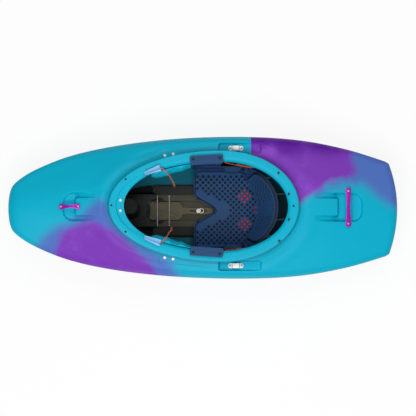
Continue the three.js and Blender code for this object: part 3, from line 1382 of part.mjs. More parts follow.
function pillar(x0, x1, half, nose) {
  const shape = roundedRect(x0, x1, -half, half, nose);
  return common(extrudeUp(shape, -OVERRUN, HEIGHT), room);
}

function bowPillar() {
  const block = pillar(BOW_PILLAR_REAR, BOW_PILLAR_FRONT, PILLAR_HALF, PILLAR_HALF);
  const stepFront = RIM_CENTRE + RIM_FRONT - NECK_INSET - WALL + OVERRUN;
  const top = rimHeight(stepFront) - PILLAR_TOP_SINK;
  const away = roundedRect(0, stepFront, -halfBeam, halfBeam, 0);
  const bowl = bowlSolid(BOW_BOWL, WALL + CLEARANCE);
  return cut(block, extrudeUp(away, top, HEIGHT * 2), bowl);
}

function sternPillar() {
  const block = pillar(STERN_PILLAR_REAR, STERN_PILLAR_FRONT, STERN_PILLAR_HALF, FOAM_ROUND);
  const stepRear = RIM_CENTRE - RIM_REAR + NECK_INSET + WALL - OVERRUN;
  const top = rimHeight(stepRear) - PILLAR_TOP_SINK;
  const away = roundedRect(stepRear, 0, -halfBeam, halfBeam, 0);
  return cut(block, extrudeUp(away, top, HEIGHT * 2), bowlSolid(STERN_BOWL, WALL + CLEARANCE));
}

// Cleats on the rim's inner edge, with the cords that they hold
const CLEAT_LONG = 74;
const CLEAT_REAR_HALF = 14.5;
const CLEAT_FRONT_HALF = 8;
const CLEAT_HIGH = 12;
const CLEAT_X = 221;
const CLEAT_SHY = 93;
const CLEAT_SIDE = RIM_HALF_WIDTH - CLEAT_SHY;
const CLEAT_TURN = -20 * Math.PI / 180;
const CLEAT_GROOVE = 4;
const CLEAT_ROUND = 5;
const CORD_RADIUS = 2.2;
const ELASTIC_RADIUS = 2.5;

function cleat() {
  const half = CLEAT_LONG / 2;
  const shape = new THREE.Shape();
  shape.moveTo(-half + CLEAT_ROUND, -CLEAT_REAR_HALF);
  shape.lineTo(half - CLEAT_ROUND, -CLEAT_FRONT_HALF);
  shape.quadraticCurveTo(half, -CLEAT_FRONT_HALF, half, 0);
  shape.quadraticCurveTo(half, CLEAT_FRONT_HALF, half - CLEAT_ROUND, CLEAT_FRONT_HALF);
  shape.lineTo(-half + CLEAT_ROUND, CLEAT_REAR_HALF);
  shape.quadraticCurveTo(-half, CLEAT_REAR_HALF, -half, CLEAT_REAR_HALF - CLEAT_ROUND);
  shape.lineTo(-half, -CLEAT_REAR_HALF + CLEAT_ROUND);
  shape.quadraticCurveTo(-half, -CLEAT_REAR_HALF, -half + CLEAT_ROUND, -CLEAT_REAR_HALF);
  const body = extrudeUp(shape, 0, CLEAT_HIGH);
  const vee = new THREE.Shape();
  vee.moveTo(-CLEAT_GROOVE * 2, CLEAT_HIGH + CLEAT_GROOVE);
  vee.lineTo(0, CLEAT_HIGH / 4);
  vee.lineTo(CLEAT_GROOVE * 2, CLEAT_HIGH + CLEAT_GROOVE);
  const groove = new THREE.ExtrudeGeometry(vee, { depth: CLEAT_LONG * 2, bevelEnabled: false });
  groove.rotateX(Math.PI / 2).rotateZ(Math.PI / 2).translate(-CLEAT_LONG, 0, 0);
  const placed = cut(body, groove).rotateZ(CLEAT_TURN).translate(CLEAT_X, CLEAT_SIDE, CLEARANCE * 2);
  return drape(placed, rimTop);
}

// A round cord along a smooth line of points.
function tube(points, radius, steps, sides = 8) {
  const path = new THREE.CatmullRomCurve3(points.map(([x, y, z]) => new THREE.Vector3(x, y, z)));
  const shape = new THREE.Shape();
  for (let i = 0; i < sides; i += 1) {
    const angle = 2 * Math.PI * i / sides;
    const x = radius * Math.cos(angle);
    const y = radius * Math.sin(angle);
    if (i) shape.lineTo(x, y);
    else shape.moveTo(x, y);
  }
  return new THREE.ExtrudeGeometry(shape, { steps, bevelEnabled: false, extrudePath: path });
}

// Offsets of a cord's points from where it leaves its cleat
const TAIL_STARBOARD = [
  [0, 0, 0], [-12, 8, -3], [-26, 20, -5], [-36, 32, -20], [-44, 43, -40], [-51, 54, -65], [-56, 63, -92],
  [-57, 67, -116],
];
const TAIL_PORT = [
  [0, 0, 0], [-10, 9, -2], [-22, 24, -4], [-30, 36, -18], [-34, 48, -38], [-44, 60, -60], [-47, 64, -92],
  [-46, 70, -108],
];

function cordTail(offsets) {
  const half = CLEAT_LONG / 2;
  const start = new THREE.Vector2(-half - CLEARANCE, 0).rotateAround(new THREE.Vector2(0, 0), CLEAT_TURN);
  const x = CLEAT_X + start.x;
  const y = CLEAT_SIDE + start.y;
  const z = rimTop(x, y) + CLEAT_HIGH / 2 + CORD_RADIUS;
  return tube(offsets.map(([a, b, c]) => [x + a - CORD_RADIUS, y - b, z + c]), CORD_RADIUS, 20);
}

// Rods across the tray that hold the footrest's bar down
const ROD_FRONT = 204;
const ROD_REAR = 151;
const ROD_RADIUS = 2.2;
const ROD_SIDES = 10;

function trayRod(x) {
  const half = TRAY_HALF - ROD_RADIUS;
  const rod = new THREE.CylinderGeometry(ROD_RADIUS, ROD_RADIUS, half * 2, ROD_SIDES);
  return rod.translate(x, 0, TRAY_TOP + CLEARANCE + ROD_RADIUS);
}

// Elastics from the top of the backband to the skirt behind it, and the cords that pull the band forward
const ELASTICS = [[0.25, 55], [0.62, 128]];
const elasticRiseShare = 0.93;
const ELASTIC_DROP = 26;
const PULL_FRONT = -97;
const PULL_REAR = -150;
const PULL_X = -217;
const PULL_SHY = 2.5;
const PULL_SIDE = SEAT_HALF - PULL_SHY;
const PULL_Z = 184;
const PULL_BEND = 5;

function mouthRear(y) {
  const half = RIM_HALF_WIDTH - MOUTH_INSET - CLEARANCE - ELASTIC_RADIUS;
  const reach = RIM_REAR - MOUTH_INSET - CLEARANCE - ELASTIC_RADIUS;
  return RIM_CENTRE - reach * Math.sqrt(1 - (y / half) ** 2);
}

function elastic(sweepShare, side) {
  const from = bandPoint(sweepShare, elasticRiseShare, BAND_WALL + CLEARANCE + ELASTIC_RADIUS * 1.5);
  const x = mouthRear(side);
  const to = new THREE.Vector3(x, side, rimTop(x, side) - ELASTIC_DROP);
  const middle = from.clone().lerp(to, 0.5);
  const line = [from, middle, to].map((p) => [p.x, p.y, p.z]);
  return tube(line, ELASTIC_RADIUS, 4);
}

function pullCord() {
  const end = (x) => {
    const y = mouthHalf(x - PULL_BEND * 3) - CLEARANCE - ELASTIC_RADIUS;
    return [x, y, rimTop(x, y) - ELASTIC_DROP];
  };
  const first = end(PULL_FRONT);
  const last = end(PULL_REAR);
  const line = [
    first, [PULL_X + PULL_BEND * 2, PULL_SIDE, PULL_Z + PULL_BEND],
    [PULL_X, PULL_SIDE, PULL_Z - PULL_BEND / 2], [PULL_X - PULL_BEND, PULL_SIDE, PULL_Z + PULL_BEND * 2],
    last,
  ];
  return tube(line, ELASTIC_RADIUS, 16);
}

// Bolts in the shelf at the front of the rim
const SHELF_BOLT_X = 361;
const SHELF_BOLT_SIDE = 23;
const SHELF_BOLT_RADIUS = 3;
const SHELF_BOLT_HEAD = 5.5;
const SHELF_BOLT_HIGH = 3;
const SHELF_BOLT_LONG = 3.2;

function shelfBoltPlace() {
  const z = rimTop(SHELF_BOLT_X, SHELF_BOLT_SIDE) - SHELF_STEP + CLEARANCE * 2;
  return new THREE.Vector3(SHELF_BOLT_X, SHELF_BOLT_SIDE, z);
}

function shelfBolt() {
  const p = shelfBoltPlace();
  const bolt = makeScrew(SHELF_BOLT_HEAD, SHELF_BOLT_HIGH, SHELF_BOLT_RADIUS, SHELF_BOLT_LONG);
  return bolt.translate(p.x, p.y, p.z);
}

function shelfBoltHole() {
  const p = shelfBoltPlace();
  const radius = SHELF_BOLT_RADIUS + CLEARANCE;
  const low = p.z - SHELF_BOLT_LONG - CLEARANCE;
  return makeShaft(radius, low, p.z + SHELF_BOLT_HIGH, 8).translate(p.x, p.y, 0);
}

// Drain in the transom
const DRAIN_RADIUS = 12;
const DRAIN_HIGH = 3;
const DRAIN_NECK = 7;
const DRAIN_BORE = 4.5;
const DRAIN_DEEP = 10;
const DRAIN_HEAD = 8.5;
const drainRiseShare = 0.55;
const drainSpanShare = 0.25;

function drainPlace() {
  const at = (share) => {
    const inset = railInset(-halfLength) * (1 - share);
    const x = -halfLength + inset;
    return new THREE.Vector3(x, 0, sideHeight(x, share));
  };
  const below = at(drainRiseShare - drainSpanShare);
  const tangent = at(drainRiseShare + drainSpanShare).sub(below).normalize();
  const normal = new THREE.Vector3(-tangent.z, 0, tangent.x);
  const turn = new THREE.Quaternion().setFromUnitVectors(new THREE.Vector3(0, 0, 1), normal);
  return new THREE.Matrix4().compose(at(drainRiseShare), turn, new THREE.Vector3(1, 1, 1));
}

const drainMatrix = drainPlace();

function drainSeat() {
  const flangeTop = DRAIN_HIGH + DRAIN_HIGH / 2;
  const flange = makeShaft(DRAIN_RADIUS, -DRAIN_HIGH, flangeTop, 20).applyMatrix4(drainMatrix);
  const neck = makeShaft(DRAIN_NECK - CLEARANCE, -DRAIN_DEEP, DRAIN_HIGH, 16).applyMatrix4(drainMatrix);
  const bore = makeShaft(DRAIN_BORE + CLEARANCE, -DRAIN_DEEP * 2, DRAIN_DEEP, 12).applyMatrix4(drainMatrix);
  return cut(join(cut(flange, hullBody(CLEARANCE)), neck), bore);
}

function drainPlug() {
  const low = DRAIN_HIGH + DRAIN_HIGH / 2 + CLEARANCE;
  const profile = [
    [0, -DRAIN_DEEP + DRAIN_HIGH], [DRAIN_BORE, -DRAIN_DEEP + DRAIN_HIGH], [DRAIN_BORE, low],
    [DRAIN_HEAD, low], [DRAIN_HEAD, low + DRAIN_HIGH], [0, low + DRAIN_HIGH],
  ].map(([r, z]) => new THREE.Vector2(r, z));
  return new THREE.LatheGeometry(profile, 12).rotateX(Math.PI / 2).applyMatrix4(drainMatrix);
}

const drainHole = () => makeShaft(DRAIN_NECK, -DRAIN_DEEP * 2, DRAIN_DEEP, 16).applyMatrix4(drainMatrix);

const boat = new THREE.Group();

function addPiece(name, geometry, look, parent = boat) {
  const mesh = new THREE.Mesh(geometry, new THREE.MeshStandardMaterial(look));
  mesh.name = name;
  parent.add(mesh);
  return mesh;
}

const looks = {
  moulded: { color: 0x00a8c6, roughness: 0.45, metalness: 0 },
  navy: { color: 0x1f3f73, roughness: 0.6, metalness: 0 },
  foam: { color: 0x24262a, roughness: 0.9, metalness: 0 },
  tray: { color: 0x6b6355, roughness: 0.7, metalness: 0 },
  anodised: { color: 0xa3239f, roughness: 0.3, metalness: 0.7 },
  steel: { color: 0xdedede, roughness: 0.3, metalness: 0.9 },
  cleat: { color: 0x8fc4ea, roughness: 0.35, metalness: 0 },
  cord: { color: 0xd8572a, roughness: 0.8, metalness: 0 },
  elastic: { color: 0x101010, roughness: 0.8, metalness: 0 },
};

// The shell with its recesses and holes
function hullShell() {
  const lining = pocketLining();
  const bumps = [lining, mirrorSide(lining)];
  [BOW_BOWL, STERN_BOWL].forEach((bowl) => bumps.push(common(bowlSolid(bowl, WALL), hullBody(-WALL / 2))));
  const cuts = [pocketCut(), mirrorSide(pocketCut()), panelCut(), mirrorSide(panelCut())];
  [BOW_BOWL, STERN_BOWL].forEach((bowl) => cuts.push(bowlSolid(bowl, 0)));
  BRACE_BOLTS.forEach(([x, y]) => cuts.push(boltHole(x, y), mirrorSide(boltHole(x, y))));
  cuts.push(shelfBoltHole(), mirrorSide(shelfBoltHole()), drainHole());
  return cut(join(hullMoulding(), ...bumps), ...cuts);
}

function addPair(name, geometry, look) {
  addPiece(`${name}_left`, geometry, look);
  addPiece(`${name}_right`, mirrorSide(geometry), look);
}

addPiece('hull_shell', hullShell(), looks.moulded);
addPiece('seat_pan', seatPan(), looks.navy);
addPiece('seat_pad', seatPad(), looks.navy);
addPair('seat_hanger', seatHanger(), looks.navy);
hangerScrewPlaces().forEach((p, i) => {
  const screw = makeScrew(SCREW_HEAD, SCREW_HIGH, SCREW_RADIUS, SCREW_LONG).translate(p.x, p.y, p.z);
  addPair(`hanger_screw_${i + 1}`, screw, looks.steel);
});
addPair('hip_pad', hipPad(), looks.navy);
addPiece('backband_plate', backbandPlate(), looks.navy);
addPiece('backband_pad', backbandPad(), looks.navy);
addPair('backband_pivot', pivotBolt(), looks.steel);
addPair('backband_cord', pullCord(), looks.cord);
ELASTICS.forEach(([share, side], i) => {
  addPair(`backband_elastic_${i + 1}`, elastic(share, side), looks.elastic);
});
addPiece('floor_tray', floorTray(), looks.tray);
addPiece('tray_front_plate', frontPlate(), looks.foam);
addPair('floor_foam', floorFoam(), looks.foam);
addPiece('tray_rod_front', trayRod(ROD_FRONT), looks.steel);
addPiece('tray_rod_rear', trayRod(ROD_REAR), looks.steel);
addPiece('footrest_slider', footrestSlider(), looks.tray);
addPiece('footrest_frame', footrestFrame(), looks.tray);
addPair('footrest_plate', footPlate(), looks.foam);
addPiece('adjuster_screw', adjusterScrew(), looks.steel);
addPiece('bow_pillar', bowPillar(), looks.foam);
addPiece('stern_pillar', sternPillar(), looks.foam);
addPair('thigh_brace', thighBrace(), looks.moulded);
BRACE_BOLTS.forEach(([x, y], i) => addPair(`thigh_brace_bolt_${i + 1}`, braceBolt(x, y), looks.steel));
addHandle('bow_handle', BOW_HANDLE_LENGTH, new THREE.Vector3(1, 0, 0), BOW_HANDLE_X);
addHandle('stern_handle', STERN_HANDLE_LENGTH, new THREE.Vector3(0, 1, 0), STERN_HANDLE_X);
addPair('security_bar', securityBar(), looks.steel);
addPair('security_bar_screw_front', barScrew(1), looks.steel);
addPair('security_bar_screw_rear', barScrew(-1), looks.steel);
addPair('shelf_bolt', shelfBolt(), looks.steel);
addPair('cord_cleat', cleat(), looks.cleat);
addPiece('cord_tail_left', cordTail(TAIL_PORT), looks.cord);
addPiece('cord_tail_right', mirrorSide(cordTail(TAIL_STARBOARD)), looks.cord);
addPiece('drain_seat', drainSeat(), looks.foam);
addPiece('drain_plug', drainPlug(), looks.foam);

export default boat;
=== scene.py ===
"""Short whitewater kayak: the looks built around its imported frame. Lengths in the tables are millimetres."""

import json
from bisect import bisect
from math import acos, asin, atan, atan2, ceil, copysign, cos, exp, hypot, pi, radians, sin, sqrt

import bmesh
import bpy
from bpy.props import FloatProperty, FloatVectorProperty, PointerProperty
from bpy.types import Operator, Panel, PropertyGroup
from mathutils import Matrix, Vector
from mathutils.bvhtree import BVHTree
from mathutils.geometry import delaunay_2d_cdt


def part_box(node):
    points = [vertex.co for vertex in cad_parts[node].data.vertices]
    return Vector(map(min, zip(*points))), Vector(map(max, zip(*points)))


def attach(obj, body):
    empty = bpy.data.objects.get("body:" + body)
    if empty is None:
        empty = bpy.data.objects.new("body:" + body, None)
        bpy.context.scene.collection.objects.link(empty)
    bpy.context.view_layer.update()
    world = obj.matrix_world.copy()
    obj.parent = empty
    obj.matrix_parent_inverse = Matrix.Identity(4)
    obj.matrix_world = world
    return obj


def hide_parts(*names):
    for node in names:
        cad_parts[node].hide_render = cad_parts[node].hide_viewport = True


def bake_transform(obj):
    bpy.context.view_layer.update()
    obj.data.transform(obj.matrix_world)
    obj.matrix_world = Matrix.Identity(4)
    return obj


bl_info = {
    "name": "Whitewater kayak looks",
    "version": (1, 0, 0),
    "blender": (4, 5, 0),
    "location": "View3D > Sidebar > Kayak",
    "description": "Builds the finished pieces of a short whitewater kayak around its frame",
    "category": "Object",
}

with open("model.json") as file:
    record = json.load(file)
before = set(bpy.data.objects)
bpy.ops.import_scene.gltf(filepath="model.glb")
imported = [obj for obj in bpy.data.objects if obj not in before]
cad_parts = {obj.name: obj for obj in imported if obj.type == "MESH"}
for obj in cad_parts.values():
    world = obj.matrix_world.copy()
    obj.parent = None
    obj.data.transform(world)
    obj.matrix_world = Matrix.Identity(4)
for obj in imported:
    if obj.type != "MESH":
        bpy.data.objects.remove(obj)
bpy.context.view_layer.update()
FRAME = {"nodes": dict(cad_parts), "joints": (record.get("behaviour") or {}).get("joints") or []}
NODES = FRAME["nodes"]
MM = 0.001
SIDES = (("left", 1), ("right", -1))


def srgb(red, green, blue):
    """Linear colour of an sRGB colour given from 0 to 255."""
    out = []
    for value in (red, green, blue):
        c = value / 255
        out.append(c / 12.92 if c <= 0.04045 else ((c + 0.055) / 1.055) ** 2.4)
    return tuple(out)


# ---------------------------------------------------------------- settings


def colour_setting(label, about, default):
    return FloatVectorProperty(name=label, description=about, default=default, size=3, min=0, max=1,
                               subtype="COLOR")


def length_setting(label, about, default):
    return FloatProperty(name=label, description=about, default=default, min=0, subtype="DISTANCE", unit="LENGTH")


class HullSettings(PropertyGroup):
    """Colours and surface of the moulded hull."""

    body_colour: colour_setting("Body colour", "Main colour of the moulded hull", srgb(0, 172, 202))
    blend_colour: colour_setting("Blend colour", "Second colour, blended in at bow and stern", srgb(122, 56, 180))
    mix_colour: colour_setting("Mix colour", "Colour where the two powders run together", srgb(84, 96, 188))
    roughness: FloatProperty(name="Roughness", description="Roughness of the moulded skin", default=0.42,
                             min=0, max=1, subtype="FACTOR")
    wall_softness: length_setting("Wall softness", "Width of the rounded walls of the deck's recesses", 0.006)
    refine_length: length_setting("Refine length", "Longest edge in the mesh round a recess", 0.0036)


class SeatSettings(PropertyGroup):
    """Colours and sizes of the seat, its pads and the backband."""

    plastic_colour: colour_setting("Plastic colour", "Colour of the seat's moulded plastic", srgb(28, 58, 102))
    pad_colour: colour_setting("Pad colour", "Colour of the perforated pads", srgb(30, 69, 113))
    hole_pitch: length_setting("Hole pitch", "Distance between holes of a pad along a row", 0.0247)
    hole_radius: length_setting("Hole radius", "Radius of a hole of a pad", 0.0066)
    hole_depth: length_setting("Hole depth", "Depth of a hole of a pad", 0.005)


class FittingSettings(PropertyGroup):
    """Colours of the fittings and cords."""

    handle_colour: colour_setting("Handle colour", "Colour of the anodised handles", srgb(176, 30, 190))
    cord_colour: colour_setting("Cord colour", "Main colour of the braided cords", srgb(240, 88, 28))
    fleck_colour: colour_setting("Fleck colour", "Dark flecks of the braided cords", srgb(70, 22, 12))
    cleat_colour: colour_setting("Cleat colour", "Colour of the cleats", srgb(128, 186, 226))
    tray_colour: colour_setting("Tray colour", "Colour of the floor tray and footrest bar", srgb(102, 97, 76))
    foam_colour: colour_setting("Foam colour", "Colour of the dark foam pieces", srgb(35, 36, 35))


class StageSettings(PropertyGroup):
    """Camera, light and floor."""

    camera_tilt: FloatProperty(name="Camera tilt", description="Lean of the camera from straight above, to port",
                               default=radians(4.42), subtype="ANGLE", unit="ROTATION")
    camera_distance: length_setting("Camera distance", "Distance of the camera from the deck", 14.3)
    floor_size: length_setting("Floor size", "Length of each side of the floor", 60.0)
    floor_colour: colour_setting("Floor colour", "Colour of the floor", (0.9, 0.9, 0.9))
    sky_strength: FloatProperty(name="Sky strength", description="Light from all round, beside the lamps",
                                default=0.2, min=0, max=1)


# ---------------------------------------------------------------- hull's form, as in the solids

LENGTH, BEAM, HEIGHT, WALL = 1720.0, 627.0, 335.0, 5.0
OUTLINE_SHARES = [
    (0.5, 0), (0.4955, 0.226), (0.4802, 0.367), (0.4285, 0.549), (0.336, 0.746), (0.213, 0.887),
    (0.0593, 0.976), (-0.11, 1), (-0.249, 0.957), (-0.372, 0.8325), (-0.478, 0.657),
]
CREST_SHARES = [
    (0.5, 0.59), (0.47, 0.64), (0.372, 0.738), (0.29, 0.826), (0.226, 0.9), (0.087, 0.945),
    (-0.058, 0.915), (-0.231, 0.81), (-0.302, 0.75), (-0.395, 0.63), (-0.5, 0.487),
]
GUNWALE_SHARES = [(0.5, 0.525), (0.35, 0.52), (0.174, 0.565), (0.05, 0.6), (-0.1, 0.6), (-0.291, 0.52), (-0.5, 0.38)]
EDGE_SHARES = [(0.5, 0.04), (0.35, 0.05), (0.174, 0.1), (0.05, 0.125), (-0.1, 0.125), (-0.291, 0.08), (-0.5, 0.05)]
RIM_SHARES = [(0.25, 1), (0.24, 1), (0.087, 0.935), (-0.047, 0.895), (-0.15, 0.89), (-0.26, 0.897)]
BOW_FLANK, STERN_FLANK, FLANK_START = 0.75, 0.4, 0.15
BOW_KICK, STERN_KICK, FLAT_BOW_END, FLAT_STERN_END, KICK_POWER = 135.0, 92.0, 230.0, 250.0, 1.9
RAIL_MARGIN, RAIL_FLARE, RAIL_POWER, EDGE_WIDTH = 22.0, 0.17, 1.5, 30.0
RIM_CENTRE, RIM_FRONT, RIM_REAR, RIM_HALF_WIDTH = -80.0, 493.0, 341.0, 245.0
RIM_FLANGE, RIM_THICK, RIM_LIP, NECK_INSET, MOUTH_INSET = 30.0, 7.0, 12.0, 24.0, 48.0
SKIRT_DEPTH, SHELF_INSET, SHELF_STEP, SHELF_SPREAD = 40.0, 67.0, 9.0, 0.16
LIP_ROUND, ROLL = 2.0, 6.0
HALF_LENGTH, HALF_BEAM = LENGTH / 2, BEAM / 2
HULL_RAYS, OUTLINE_STEPS = 224, 60


def lerp(a, b, t):
    return a + (b - a) * t


def between(places, values, at):
    """Value at a place on straight lines through values at rising places."""
    i = min(max(bisect(places, at), 1), len(places) - 1)
    return lerp(values[i - 1], values[i], (at - places[i - 1]) / (places[i] - places[i - 1]))


def along_boat(table, x):
    """Height from a smooth curve through a table of shares, read at one place along the boat."""
    share, last = x / LENGTH, len(table) - 1
    if share >= table[0][0]:
        return table[0][1] * HEIGHT
    if share <= table[last][0]:
        return table[last][1] * HEIGHT
    i = 0
    while table[i + 1][0] > share:
        i += 1

    def slope(a, b):
        return (table[b][1] - table[a][1]) / (table[b][0] - table[a][0])

    span = table[i + 1][0] - table[i][0]
    first = slope(i - 1, i + 1) if i > 0 else slope(0, 1)
    second = slope(i, i + 2) if i + 2 <= last else slope(last - 1, last)
    t = (share - table[i][0]) / span
    t2, t3 = t * t, t * t * t
    value = ((2 * t3 - 3 * t2 + 1) * table[i][1] + (t3 - 2 * t2 + t) * span * first
             + (3 * t2 - 2 * t3) * table[i + 1][1] + (t3 - t2) * span * second)
    return value * HEIGHT


def smooth(low, high, value):
    t = min(1.0, max(0.0, (value - low) / (high - low)))
    return t * t * (3 - 2 * t)


def through(points, samples):
    """Points on a smooth line through the given points, evenly spread between them."""
    out = []
    last = len(points) - 1
    for k in range(samples + 1):
        u = k / samples * last
        i = min(int(u), last - 1)
        t = u - i
        a, b, c, d = (points[max(0, i - 1)], points[i], points[i + 1], points[min(last, i + 2)])
        out.append(tuple(
            0.5 * (2 * q + (r - p) * t + (2 * p - 5 * q + 4 * r - s) * t * t + (3 * q - p - 3 * r + s) * t ** 3)
            for p, q, r, s in zip(a, b, c, d)))
    return out


def side_outline():
    """Plan outline of the port side from bow to stern, then across the transom."""
    side = [(x * LENGTH, y * HALF_BEAM) for x, y in OUTLINE_SHARES]
    lead = [(x * LENGTH, -y * HALF_BEAM) for x, y in reversed(OUTLINE_SHARES[1:3])]
    line = through(lead + side, OUTLINE_STEPS * (len(lead) + len(side) - 1))[OUTLINE_STEPS * len(lead):]
    corner = line[-1]
    rise = corner[0] + HALF_LENGTH
    radius = (corner[1] ** 2 + rise ** 2) / (2 * rise)
    sweep = asin(corner[1] / radius)
    angles = [sweep * (1 - i / OUTLINE_STEPS) for i in range(1, OUTLINE_STEPS + 1)]
    return line, [(-HALF_LENGTH + radius * (1 - cos(angle)), radius * sin(angle)) for angle in angles]


PORT_SIDE, TRANSOM = side_outline()
STERN_CORNER = PORT_SIDE[-1]
SIDE_XS, SIDE_YS = zip(*reversed(PORT_SIDE))
HALF_OUTLINE = PORT_SIDE + TRANSOM
BEARINGS = [atan2(y, x - RIM_CENTRE) for x, y in HALF_OUTLINE]
REACHES = [hypot(y, x - RIM_CENTRE) for x, y in HALF_OUTLINE]


def half_width(x):
    if x <= STERN_CORNER[0]:
        return STERN_CORNER[1]
    return between(SIDE_XS, SIDE_YS, x) if x < HALF_LENGTH else 0.0


def crest_height(x):
    return along_boat(CREST_SHARES, x)


def gunwale_height(x):
    return along_boat(GUNWALE_SHARES, x)


def rim_height(x):
    return along_boat(RIM_SHARES, x)


def keel_height(x):
    flat, kick = (FLAT_BOW_END, BOW_KICK) if x > 0 else (FLAT_STERN_END, STERN_KICK)
    return kick * max(0.0, (abs(x) - flat) / (HALF_LENGTH - flat)) ** KICK_POWER


def deck_height(x, y, from_edge=EDGE_WIDTH):
    low = gunwale_height(x)
    edge = along_boat(EDGE_SHARES, x)
    rest = crest_height(x) - low - edge
    across = min(1.0, abs(y) / max(half_width(x), 1.0))
    bow = BOW_FLANK * smooth(FLANK_START * LENGTH, HALF_LENGTH, x)
    stern = STERN_FLANK * smooth(FLANK_START * LENGTH, HALF_LENGTH, -x)
    section = (1 - across * across) ** (1 + bow + stern)
    near = 1 - min(1.0, from_edge / EDGE_WIDTH)
    return low + edge * sqrt(max(0.0, 1 - near * near)) + rest * section


def rail_inset(x):
    return RAIL_MARGIN + RAIL_FLARE * (gunwale_height(x) - keel_height(x))


def side_height(x, share):
    bend = 1 - (1 - share ** RAIL_POWER) ** (1 / RAIL_POWER)
    return keel_height(x) + (gunwale_height(x) - keel_height(x)) * bend


def rim_reach(x):
    return RIM_FRONT if x > RIM_CENTRE else RIM_REAR


def rim_point(angle, inset):
    reach = RIM_FRONT if cos(angle) > 0 else RIM_REAR
    return (RIM_CENTRE + (reach - inset) * cos(angle), (RIM_HALF_WIDTH - inset) * sin(angle))


def rim_top(x, y):
    """Height of the rim's top at a plan point on it."""
    side = rim_reach(x)
    low, high = 0.0, RIM_HALF_WIDTH / 2
    for _ in range(24):
        inset = (low + high) / 2
        over = ((x - RIM_CENTRE) / (side - inset)) ** 2 + (y / (RIM_HALF_WIDTH - inset)) ** 2
        if over < 1:
            low = inset
        else:
            high = inset
    turn = min(1.0, abs(x - RIM_CENTRE) / (side - low))
    return rim_height(RIM_CENTRE + copysign(side * turn, x - RIM_CENTRE))


def rim_half(x, inset):
    return (RIM_HALF_WIDTH - inset) * sqrt(max(0.0, 1 - ((x - RIM_CENTRE) / (rim_reach(x) - inset)) ** 2))


def shelf_share(angle):
    return 1 - smooth(0, SHELF_SPREAD * 2 * pi, abs(angle))


def mouth_half(x):
    if x < RIM_CENTRE:
        return rim_half(x, MOUTH_INSET)
    angle = acos((x - RIM_CENTRE) / (RIM_FRONT - MOUTH_INSET))
    return rim_half(x, MOUTH_INSET + (SHELF_INSET - MOUTH_INSET) * shelf_share(angle))


def outline_reach(bearing):
    return between(BEARINGS, REACHES, abs(bearing))


def hull_rays(count):
    """Rays from the rim's centre, one of them in each stern corner."""
    angles = [2 * pi * i / count - pi for i in range(count)]
    bearing = atan2(STERN_CORNER[1], STERN_CORNER[0] - RIM_CENTRE)
    corner = atan2(sin(bearing) / RIM_HALF_WIDTH, cos(bearing) / RIM_REAR)
    for value in (corner, -corner):
        nearest = min(range(count), key=lambda i: abs(angles[i] - value))
        angles[nearest] = value
    rays = []
    nudge = pi / count / 4
    for angle in angles:
        nx, ny = rim_point(angle, NECK_INSET)
        way = atan2(ny, nx - RIM_CENTRE)
        reach = outline_reach(way)
        turn = (outline_reach(min(pi, abs(way) + nudge)) - outline_reach(max(0, abs(way) - nudge))) / (2 * nudge)
        rays.append((angle, cos(way), sin(way), reach, 1 / hypot(1, turn / reach)))
    return rays


def on_ray(ray, distance):
    return RIM_CENTRE + ray[1] * distance, ray[2] * distance


def bottom_rings(rays, inset, lift, spreads, rises):
    """Rings of the bottom: over its flat part, then up the side to the gunwale."""
    def rail_of(ray, share):
        return on_ray(ray, ray[3] - (inset + rail_inset(on_ray(ray, ray[3] - inset)[0]) * (1 - share)) / ray[4])

    rings = []
    for share in spreads:
        ring = []
        for ray in rays:
            x, y = rail_of(ray, 0)
            flat_end = FLAT_BOW_END if x > RIM_CENTRE else -FLAT_STERN_END
            flat = min(0.8, (flat_end - RIM_CENTRE) / (x - RIM_CENTRE))
            spread = lerp(flat, 1, share)
            x = RIM_CENTRE + (x - RIM_CENTRE) * spread
            ring.append((x, y * spread, keel_height(x) + lift))
        rings.append(ring)
    for share in rises:
        edge = [rail_of(ray, share) for ray in rays]
        rings.append([(x, y, side_height(x, share) + lift * (1 - share)) for x, y in edge])
    return rings


def deck_rings(rays, inset, drop, neck_inset, edges, spreads):
    """Rings of the deck: round its soft edge, then in to the neck of the rim."""
    def edge_of(ray, width):
        return on_ray(ray, ray[3] - (inset + width) / ray[4])

    rings = []
    for share in edges:
        width = EDGE_WIDTH * share
        edge = [edge_of(ray, width) for ray in rays]
        rings.append([(x, y, deck_height(x, y, width) - drop * share) for x, y in edge])
    for share in spreads:
        edge = [[lerp(a, b, share) for a, b in zip(rim_point(ray[0], neck_inset), edge_of(ray, EDGE_WIDTH))]
                for ray in rays]
        rings.append([(x, y, deck_height(x, y) - drop) for x, y in edge])
    return rings


def rim_ring(rays, inset_side, inset_front, drop_side, drop_front):
    ring = []
    for ray in rays:
        shelf = shelf_share(ray[0])
        x, y = rim_point(ray[0], lerp(inset_side, inset_front, shelf))
        ring.append((x, y, rim_height(rim_point(ray[0], 0)[0]) - lerp(drop_side, drop_front, shelf)))
    return ring


